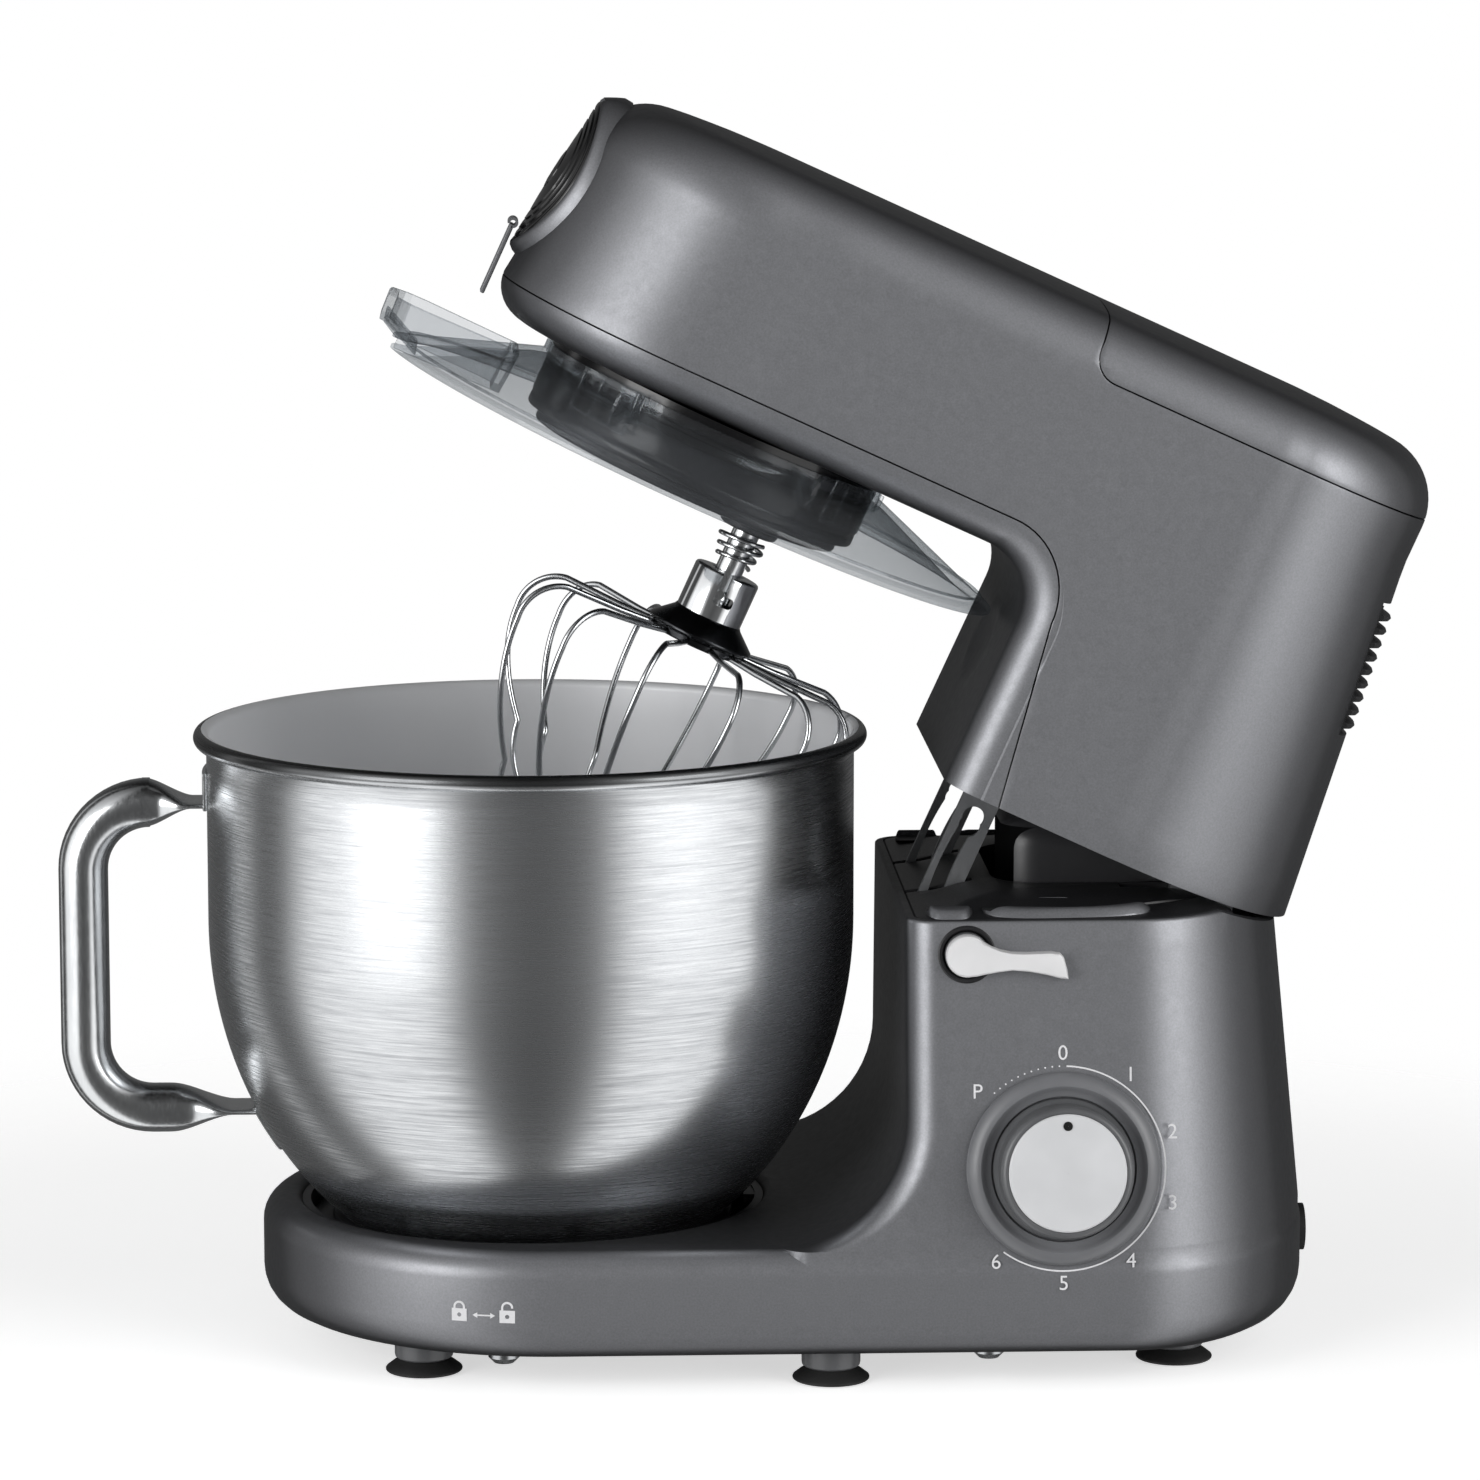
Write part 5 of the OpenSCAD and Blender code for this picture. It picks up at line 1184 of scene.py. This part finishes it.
class MIXER_OT_handle(bpy.types.Operator):
    """Add the bent tube handle with its pinched ends and welded plates"""

    bl_idname = "mixer.handle"
    bl_label = "Bowl handle"

    def execute(self, context):
        kit = finishes()
        sizes = context.scene.mixer_bowl
        r, far, bend = sizes.tube_r, sizes.handle_x, 24
        top, low = sizes.handle_top, sizes.handle_low
        root_low = bowl_radius(low)

        def section(t):
            """Half height and half width of the tube, from the pinched end at 0 to the round tube at 1."""
            t = ease(t)
            return mix(1.15, r, t ** 0.8), mix(12, r, ease(min(1, t * 1.25)))

        stations = []
        start = sizes.bowl_r + 0.6
        for x in (start, start + 2.5, start + 5):
            stations.append(((-x, top), 0, 0.0))
        for k in range(1, 15):
            x = mix(start + 5, 138.5, k / 14)
            stations.append(((-x, top), 0, k / 14))
        for a in range(0, 91, 6):
            c, s = math.cos(math.radians(a)), math.sin(math.radians(a))
            stations.append(((-(far - bend) - bend * s, top - bend + bend * c), a, 1))
        for t in (0.15, 0.35, 0.5, 0.65, 0.85):
            stations.append(((-far, mix(top - bend, low + bend, t)), 90, 1))
        for a in range(0, 91, 6):
            c, s = math.cos(math.radians(a)), math.sin(math.radians(a))
            stations.append(((-(far - bend) - bend * c, low + bend - bend * s), 90 + a, 1))
        for k in range(0, 15):
            x = mix(130, root_low + 9, k / 14)
            stations.append(((-x, low), 180, 1 - k / 14))
        for x in (root_low + 5, root_low + 0.6):
            stations.append(((-x, low), 180, 0.0))
        rings = []
        for (x, z), heading, t in stations:
            tall, wide = section(t)
            up = (-math.sin(math.radians(heading)), math.cos(math.radians(heading)))
            ring = []
            for i in range(40):
                a = 2 * math.pi * i / 40
                e = mix(0.45, 1.0, t)
                u = math.copysign(abs(math.cos(a)) ** e, math.cos(a)) * wide
                v = math.copysign(abs(math.sin(a)) ** mix(0.8, 1.0, t), math.sin(a)) * tall
                ring.append((x + up[0] * v, u, z + up[1] * v))
            rings.append(ring)
        grip = loft("handle_tube", rings)
        plates = []
        for z0, z1 in ((top - 1.6, top + 12), (low - 14, low + 1.6)):
            heights = [mix(z0, z1, i / 10) for i in range(11)]
            outer = [(bowl_radius(z) + 1.6, z) for z in heights]
            inner = [(bowl_radius(z) + 0.15, z) for z in reversed(heights)]
            spread = 2 * math.degrees(math.asin(12 / sizes.bowl_r))
            weld = lathe("weld_plate", outer + inner, 14, turn=spread, start=180 + spread / 2)
            plates.append(bevel(weld, 0.4, 2, 50))
        finish(joined("handle_loop", [grip] + plates), kit["polished"], "bowl_unit",
               ["bowl_handle"], smooth=40)
        return {"FINISHED"}


# ---- Finishes ----

FINISHES = {}


def linear(code):
    """An sRGB hex value as a linear colour."""
    parts = [int(code[i:i + 2], 16) / 255 for i in (0, 2, 4)]
    return tuple(c / 12.92 if c <= 0.04045 else ((c + 0.055) / 1.055) ** 2.4 for c in parts) + (1,)


def add(tree, kind, inputs=None, **settings):
    """Adds a node with its settings and links; an input is a value or another node's output."""
    item = tree.nodes.new("ShaderNode" + kind)
    for name, value in settings.items():
        setattr(item, name, value)
    for name, value in (inputs or {}).items():
        if isinstance(value, bpy.types.NodeSocket):
            tree.links.new(value, item.inputs[name])
        else:
            item.inputs[name].default_value = value
    return item


def material(name, **sockets):
    """A new material with its Principled shader's uniform values set."""
    made = bpy.data.materials.new(name)
    made.use_nodes = True
    shader = made.node_tree.nodes["Principled BSDF"]
    for socket, value in sockets.items():
        shader.inputs[socket.replace("_", " ").title().replace("Ior", "IOR")].default_value = value
    return made, made.node_tree, shader


def grain(tree, size, stretch=(1, 1, 1), detail=2.0, rough=0.5):
    """Noise whose grain is size millimetres, stretched along the axes."""
    where = add(tree, "TexCoord")
    scaled = add(tree, "Mapping", {"Vector": where.outputs["Object"],
                                   "Scale": [1 / (size * MM * s) for s in stretch]})
    return add(tree, "TexNoise", {"Vector": scaled.outputs["Vector"], "Scale": 1.0, "Detail": detail,
                                  "Roughness": rough})


def spread(tree, source, low, high):
    """Noise brought to a range of plain values."""
    return add(tree, "MapRange", {"Value": source, "From Min": 0.3, "From Max": 0.7,
                                  "To Min": low, "To Max": high})


def tint(tree, shader, source, dark, light):
    """Base colour that wanders between two sRGB values."""
    ramp = add(tree, "MapRange", {"Value": source, "From Min": 0.3, "From Max": 0.7})
    blend = add(tree, "Mix", {"Factor": ramp.outputs[0]}, data_type="RGBA")
    blend.inputs[6].default_value = linear(dark)
    blend.inputs[7].default_value = linear(light)
    tree.links.new(blend.outputs[2], shader.inputs["Base Color"])
    return blend.outputs[2]


def multiplied(tree, first, second):
    """Two colours multiplied."""
    product = add(tree, "Mix", {"Factor": 1.0, 6: first, 7: second}, data_type="RGBA", blend_type="MULTIPLY")
    return product.outputs[2]


def relief(tree, shader, source, depth, strength=1.0, after=None):
    """Bump of a depth in millimetres."""
    bump = add(tree, "Bump", {"Height": source, "Distance": depth * MM, "Strength": strength})
    if after:
        tree.links.new(after.outputs["Normal"], bump.inputs["Normal"])
    tree.links.new(bump.outputs["Normal"], shader.inputs["Normal"])
    return bump


def shade_of(code, factor):
    """An sRGB hex value made darker or lighter."""
    return "".join(f"{max(0, min(255, round(int(code[i:i + 2], 16) * factor))):02x}" for i in (0, 2, 4))


def graphite_paint(code):
    """Satin metallic lacquer on moulded ABS: fine flakes glint, and a faint orange peel softens the shine."""
    made, tree, shader = material("graphite_lacquer", metallic=0.55, coat_weight=0.1)
    shader.inputs["Coat Roughness"].default_value = 0.3
    shader.inputs["Specular IOR Level"].default_value = 0.35
    shader.inputs["Specular Tint"].default_value = (0.45, 0.45, 0.45, 1)
    flakes = grain(tree, 0.7, detail=3, rough=0.7)
    lacquer = tint(tree, shader, flakes.outputs["Fac"], shade_of(code, 1.08), shade_of(code, 1.2))
    # Painted shade: the base colour darkens where the surface is seen from the side, standing in for the dark
    # edges; the flakes lying flat in the lacquer give only part of this
    view = add(tree, "LayerWeight", {"Blend": 0.5})
    grazing_shade = add(tree, "ValToRGB", {"Fac": view.outputs["Facing"]})
    for element, place, value in zip(grazing_shade.color_ramp.elements, (0.14, 0.66), (1, 0.25)):
        element.position, element.color = place, (value, value, value, 1)
    tree.links.new(multiplied(tree, lacquer, grazing_shade.outputs["Color"]), shader.inputs["Base Color"])
    peel = grain(tree, 3.0)
    rough = spread(tree, peel.outputs["Fac"], 0.36, 0.42)
    tree.links.new(rough.outputs[0], shader.inputs["Roughness"])
    glint = relief(tree, shader, flakes.outputs["Fac"], 0.006, 0.5)
    relief(tree, shader, peel.outputs["Fac"], 0.004, 0.6, glint)
    return made


def moulded(name, dark, light, rough, grain_mm, depth):
    """Moulded plastic with a fine spark-eroded grain: an even colour that breaks up at the highlight."""
    made, tree, shader = material(name)
    fine = grain(tree, grain_mm, detail=4, rough=0.6)
    broad = grain(tree, 18)
    tint(tree, shader, broad.outputs["Fac"], dark, light)
    tree.links.new(spread(tree, fine.outputs["Fac"], rough - 0.05, rough + 0.05).outputs[0],
                   shader.inputs["Roughness"])
    relief(tree, shader, fine.outputs["Fac"], depth)
    return made


def metal(name, dark, light, rough, stretch=(1, 1, 1), grain_mm=1.0, depth=0.004, lines=0.06):
    """Bare metal: fine lines from grinding or drawing vary how sharply it reflects."""
    made, tree, shader = material(name, metallic=1.0)
    fine = grain(tree, grain_mm, stretch, detail=3, rough=0.6)
    broad = grain(tree, 30)
    tint(tree, shader, broad.outputs["Fac"], dark, light)
    tree.links.new(spread(tree, fine.outputs["Fac"], rough - lines, rough + lines).outputs[0],
                   shader.inputs["Roughness"])
    relief(tree, shader, fine.outputs["Fac"], depth)
    return made


def brushed_bowl():
    """Deep-drawn stainless steel, brushed as it turned: short level scratches that show in the dark bands."""
    made, tree, shader = material("brushed_stainless", metallic=1.0)
    # Scratches about 22 mm long and 0.9 mm high, drawn coarser than the real ones so that they show
    scratch = grain(tree, 1.0, (16, 16, 0.9), detail=3, rough=0.65)
    fine = grain(tree, 1.0, (40, 40, 0.45), detail=2, rough=0.5)
    both = add(tree, "Math", {0: scratch.outputs["Fac"], 1: fine.outputs["Fac"]}, operation="ADD")
    half = add(tree, "Math", {0: both.outputs[0], 1: 0.5}, operation="MULTIPLY")
    steel = tint(tree, shader, half.outputs[0], "a9abae", "dcdee0")
    tree.links.new(spread(tree, half.outputs[0], 0.34, 0.2).outputs[0], shader.inputs["Roughness"])
    relief(tree, shader, half.outputs[0], 0.02, 0.5)
    # Painted reflection: the base colour is darkened on the rolled rim, standing in for the polished rim
    # mirroring the dark room
    where = add(tree, "TexCoord")
    height = add(tree, "SeparateXYZ", {0: where.outputs["Object"]})
    rolled = add(tree, "MapRange", {"Value": height.outputs["Z"], "From Min": 0.2152, "From Max": 0.2158,
                                    "To Min": 1.0, "To Max": 0.22})
    tree.links.new(multiplied(tree, steel, rolled.outputs[0]), shader.inputs["Base Color"])
    # The inside is left satin: it scatters light where the outside mirrors it
    flat = add(tree, "VectorMath", {0: where.outputs["Object"], 1: (1, 1, 0)}, operation="MULTIPLY")
    away = add(tree, "VectorMath", {0: flat.outputs["Vector"], 1: where.outputs["Normal"]},
               operation="DOT_PRODUCT")
    inside = add(tree, "Math", {0: away.outputs["Value"], 1: 0.0}, operation="LESS_THAN")
    satin = add(tree, "BsdfPrincipled", {"Base Color": linear("e6e7e9"), "Metallic": 0.2, "Roughness": 0.5})
    both = add(tree, "MixShader", {0: inside.outputs[0], 1: shader.outputs[0], 2: satin.outputs[0]})
    tree.links.new(both.outputs[0], tree.nodes["Material Output"].inputs["Surface"])
    return made


def clear_plastic():
    """Injection-moulded clear polycarbonate: see-through face on, greyer and brighter along its edges."""
    made = bpy.data.materials.new("clear_polycarbonate")
    made.use_nodes = True
    tree = made.node_tree
    tree.nodes.clear()
    flow = grain(tree, 14)
    edge = add(tree, "LayerWeight", {"Blend": 0.3})
    see = add(tree, "ValToRGB", {"Fac": edge.outputs["Facing"]})
    see.color_ramp.elements[0].color = linear("f3f4f5")
    see.color_ramp.elements[1].color = linear("8a8d90")
    middle = see.color_ramp.elements.new(0.8)
    middle.color = linear("d6d9db")
    bump = add(tree, "Bump", {"Height": flow.outputs["Fac"], "Distance": 0.02 * MM, "Strength": 0.3})
    through = add(tree, "BsdfTransparent", {"Color": see.outputs["Color"]})
    shine = add(tree, "BsdfGlossy", {"Color": linear("e4e6e8"), "Roughness": 0.06,
                                     "Normal": bump.outputs["Normal"]})
    cloud = add(tree, "BsdfDiffuse", {"Color": linear("b4b7ba"), "Normal": bump.outputs["Normal"]})
    rim = add(tree, "MapRange", {"Value": edge.outputs["Facing"], "From Min": 0.2, "From Max": 1.0,
                                 "To Min": 0.02, "To Max": 0.1})
    milky = add(tree, "MixShader", {0: rim.outputs[0], 1: through.outputs[0], 2: cloud.outputs[0]})
    mirror = add(tree, "MapRange", {"Value": edge.outputs["Fresnel"], "To Min": 0.02, "To Max": 0.3})
    both = add(tree, "MixShader", {0: mirror.outputs[0], 1: milky.outputs[0], 2: shine.outputs[0]})
    out = add(tree, "OutputMaterial")
    tree.links.new(both.outputs[0], out.inputs["Surface"])
    return made


def finishes():
    """Every finish of the mixer, made once."""
    if FINISHES:
        return FINISHES
    colours = bpy.context.scene.mixer_colours
    FINISHES.update(
        paint=graphite_paint(colours.paint),
        moulding=moulded("black_abs", shade_of(colours.moulding, 0.9), shade_of(colours.moulding, 1.15),
                         0.42, 0.6, 0.008),
        black_gloss=moulded("gloss_black_abs", "0c0c0d", "121213", 0.16, 1.2, 0.003),
        housing=moulded("grey_glass_nylon", "2a2a2c", "343436", 0.34, 0.8, 0.008),
        rubber=moulded("black_rubber", "141414", "1d1d1d", 0.68, 0.8, 0.012),
        satin_grey=moulded("satin_grey_abs", "6d6e71", "77787b", 0.34, 0.7, 0.005),
        knob=moulded("knob_grey_abs", "58595b", "636466", 0.32, 0.7, 0.005),
        disc=moulded("silver_lacquer", "cfd0d2", "d8d9db", 0.45, 0.5, 0.005),
        silver=moulded("silver_lever_abs", "dadadb", "e4e4e5", 0.4, 0.6, 0.005),
        white_ink=moulded("white_print", "dcdcde", colours.print_ink, 0.5, 0.4, 0.002),
        black_ink=moulded("black_print", "0b0b0b", "101010", 0.4, 0.4, 0.002),
        brushed=brushed_bowl(),
        polished=metal("polished_stainless", "c9cbcd", "dddfe0", 0.2, (1, 1, 6), 0.8, 0.004, 0.07),
        bright_steel=metal("chrome_plate", "d6d8da", "e6e7e8", 0.08, (1, 1, 1), 1.5, 0.001, 0.03),
        wire_steel=metal("drawn_stainless_wire", "c2c4c6", "d4d6d8", 0.16, (1, 1, 5), 0.6, 0.002, 0.05),
        dark_steel=metal("black_nickel", "37383a", "48494b", 0.2, (1, 1, 1), 1.5, 0.002, 0.05),
        turned=metal("turned_steel", "9fa1a4", "b7b9bb", 0.28, (8, 8, 1), 0.6, 0.005, 0.08),
        cast=metal("cast_aluminium", "a1a3a6", "b4b6b8", 0.46, (1, 1, 1), 1.4, 0.03, 0.08),
        lamination=metal("stacked_steel_sheet", "66686b", "7b7d80", 0.4, (30, 30, 0.5), 1.0, 0.04, 0.1),
        copper=metal("enamelled_copper", "8f4a26", "b5622f", 0.3, (10, 10, 1), 0.8, 0.05, 0.08),
        bronze=metal("sintered_bronze", "8a6a35", "a8854a", 0.42, (1, 1, 1), 0.6, 0.01, 0.08),
        nylon=moulded("natural_nylon", "c2b78f", "d0c7a4", 0.45, 0.8, 0.008),
        board=moulded("green_solder_mask", "1c5a34", "2a7244", 0.3, 1.6, 0.01),
        film=moulded("yellow_capacitor_case", "b48f2c", "c8a53f", 0.35, 1.0, 0.006),
        clear=clear_plastic(),
    )
    return FINISHES


SLOT_FINISH = {
    "body_shell": "paint", "knob_trim": "knob", "dial_insert": "disc", "black_moulding": "moulding",
    "black_gloss": "black_gloss", "rubber": "rubber", "bowl_steel": "brushed", "polished_steel": "polished",
    "turned_steel": "turned", "cast_alloy": "cast", "laminations": "lamination", "copper": "copper",
    "bronze": "bronze", "nylon": "nylon", "circuit_board": "board", "capacitor_film": "film",
    "clear_guard": "clear",
}


class MIXER_OT_inner(bpy.types.Operator):
    """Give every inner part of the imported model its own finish"""

    bl_idname = "mixer.inner"
    bl_label = "Inner parts"

    def execute(self, context):
        kit = finishes()
        for part in frame["record"]["subparts"]:
            node = frame["nodes"][part["node"]]
            node.data.materials.clear()
            node.data.materials.append(kit[SLOT_FINISH[part["material_slot"]]])
        return {"FINISHED"}


# ---- Studio ----

class MIXER_OT_studio(bpy.types.Operator):
    """Add the floor, the soft lamps, the white surroundings and the camera"""

    bl_idname = "mixer.studio"
    bl_label = "Studio"

    def execute(self, context):
        scene = context.scene
        deselect()
        bpy.ops.mesh.primitive_plane_add(size=14, location=(0, 0, -0.0005))
        floor = named("floor")
        made, tree, shader = material("white_paper", roughness=0.8)
        shader.inputs["Base Color"].default_value = linear("f2f2f2")
        shader.inputs["Specular IOR Level"].default_value = 0.1
        out = tree.nodes["Material Output"]
        where = add(tree, "TexCoord")
        away = add(tree, "VectorMath", {0: where.outputs["Object"], 1: (0.08, 0, 0)}, operation="DISTANCE")
        fade = add(tree, "MapRange", {"Value": away.outputs["Value"], "From Min": 0.34, "From Max": 0.62},
                   interpolation_type="SMOOTHSTEP")
        glow = add(tree, "Emission", {"Color": (1, 1, 1, 1), "Strength": 0.6})
        lit = add(tree, "AddShader", {0: shader.outputs[0], 1: glow.outputs[0]})
        ray = add(tree, "LightPath")
        seen = add(tree, "MixShader", {0: ray.outputs["Is Camera Ray"], 1: shader.outputs[0],
                                       2: lit.outputs[0]})
        clear = add(tree, "BsdfTransparent")
        hidden = add(tree, "Math", {0: fade.outputs[0], 1: ray.outputs["Is Glossy Ray"]}, operation="MAXIMUM")
        faded = add(tree, "MixShader", {0: hidden.outputs[0], 1: seen.outputs[0], 2: clear.outputs[0]})
        tree.links.new(faded.outputs[0], out.inputs["Surface"])
        floor.data.materials.append(made)
        world = bpy.data.worlds.new("studio")
        world.use_nodes = True
        tree = world.node_tree
        tree.nodes.clear()
        ray = add(tree, "LightPath")
        seen = add(tree, "Math", {0: ray.outputs["Is Camera Ray"], 1: ray.outputs["Is Transmission Ray"]},
                   operation="MAXIMUM")
        white = add(tree, "Background", {"Color": (1, 1, 1, 1), "Strength": 1.0})
        where = add(tree, "TexCoord")
        split = add(tree, "SeparateXYZ", {0: where.outputs["Generated"]})
        # What metal and gloss see: white behind the mixer, two tall white screens, and dark room between
        angle = add(tree, "Math", {0: split.outputs["X"], 1: split.outputs["Y"]}, operation="ARCTAN2")
        side = add(tree, "Math", {0: angle.outputs[0]}, operation="ABSOLUTE")
        screen = add(tree, "ValToRGB", {"Fac": add(tree, "Math", {0: side.outputs[0], 1: 1 / math.pi},
                                                  operation="MULTIPLY").outputs[0]})
        stops = [(0.0, 0.10), (0.28, 0.05), (0.31, 0.5), (0.335, 0.5), (0.36, 0.06), (0.46, 0.06),
                 (0.53, 0.95), (0.79, 0.95), (0.87, 0.12), (1.0, 0.07)]
        ramp = screen.color_ramp
        while len(ramp.elements) < len(stops):
            ramp.elements.new(0.5)
        for element, (place, value) in zip(ramp.elements, stops):
            element.position = place
            element.color = (value, value, value, 1)
        rise = add(tree, "MapRange", {"Value": split.outputs["Z"], "From Min": 0.45, "From Max": 0.95,
                                      "To Min": 1.0, "To Max": 0.12})
        tone = multiplied(tree, screen.outputs["Color"], rise.outputs[0])
        room = add(tree, "Background", {"Color": tone, "Strength": 1.35})
        both = add(tree, "MixShader", {0: seen.outputs[0], 1: room.outputs[0], 2: white.outputs[0]})
        final = add(tree, "OutputWorld")
        tree.links.new(both.outputs[0], final.inputs["Surface"])
        scene.world = world
        for name, place, size, power in (("left_screen", (-1.9, -1.7, 0.7), (1.4, 1.6), 29),
                                         ("right_screen", (2.1, -1.6, 0.8), (1.4, 1.6), 23)):
            bpy.ops.object.light_add(type="AREA", location=place)
            lamp = bpy.context.view_layer.objects.active
            lamp.name = lamp.data.name = name
            lamp.data.shape, lamp.data.size, lamp.data.size_y = "RECTANGLE", size[0], size[1]
            lamp.data.energy = power
            aim = Vector((0.08, 0, 0.2)) - Vector(place)
            lamp.rotation_euler = aim.to_track_quat("-Z", "Y").to_euler()
        bpy.ops.object.camera_add(location=(-0.0158, -2.0745, 0.5263))
        camera = bpy.context.view_layer.objects.active
        view = Vector((0.0748, 0, 0.213)) - camera.location
        camera.rotation_euler = view.to_track_quat("-Z", "Y").to_euler()
        camera.data.sensor_width, camera.data.lens = 36, 36 * 5875 / 1480
        camera.data.clip_start, camera.data.clip_end = 0.05, 60
        scene.camera = camera
        scene.view_settings.view_transform = "Standard"
        return {"FINISHED"}


# ---- Add-on ----

PIECES = (
    MIXER_OT_studio, MIXER_OT_inner, MIXER_OT_base, MIXER_OT_deck, MIXER_OT_feet, MIXER_OT_dial,
    MIXER_OT_marks, MIXER_OT_lever, MIXER_OT_head, MIXER_OT_nose, MIXER_OT_louvres, MIXER_OT_drum,
    MIXER_OT_guard, MIXER_OT_whisk, MIXER_OT_bowl, MIXER_OT_handle)


class MIXER_PT_pieces(bpy.types.Panel):
    """Lists the mixer's pieces in the sidebar"""

    bl_idname = "MIXER_PT_pieces"
    bl_label = "Mixer"
    bl_space_type = "VIEW_3D"
    bl_region_type = "UI"
    bl_category = "Mixer"

    def draw(self, context):
        for piece in PIECES:
            self.layout.operator(piece.bl_idname)
        for group in (context.scene.mixer_body, context.scene.mixer_bowl, context.scene.mixer_colours):
            column = self.layout.column()
            for name in group.__annotations__:
                column.prop(group, name)


GROUPS = (MixerBodySizes, MixerBowlSizes, MixerColours)


def register():
    for group in GROUPS + PIECES + (MIXER_PT_pieces,):
        bpy.utils.register_class(group)
    bpy.types.Scene.mixer_body = bpy.props.PointerProperty(type=MixerBodySizes)
    bpy.types.Scene.mixer_bowl = bpy.props.PointerProperty(type=MixerBowlSizes)
    bpy.types.Scene.mixer_colours = bpy.props.PointerProperty(type=MixerColours)


def unregister():
    del bpy.types.Scene.mixer_colours
    del bpy.types.Scene.mixer_bowl
    del bpy.types.Scene.mixer_body
    for group in reversed(GROUPS + PIECES + (MIXER_PT_pieces,)):
        bpy.utils.unregister_class(group)


def main():
    register()
    for piece in PIECES:
        area, name = piece.bl_idname.split(".")
        getattr(getattr(bpy.ops, area), name)()


if __name__ == "__main__":
    main()
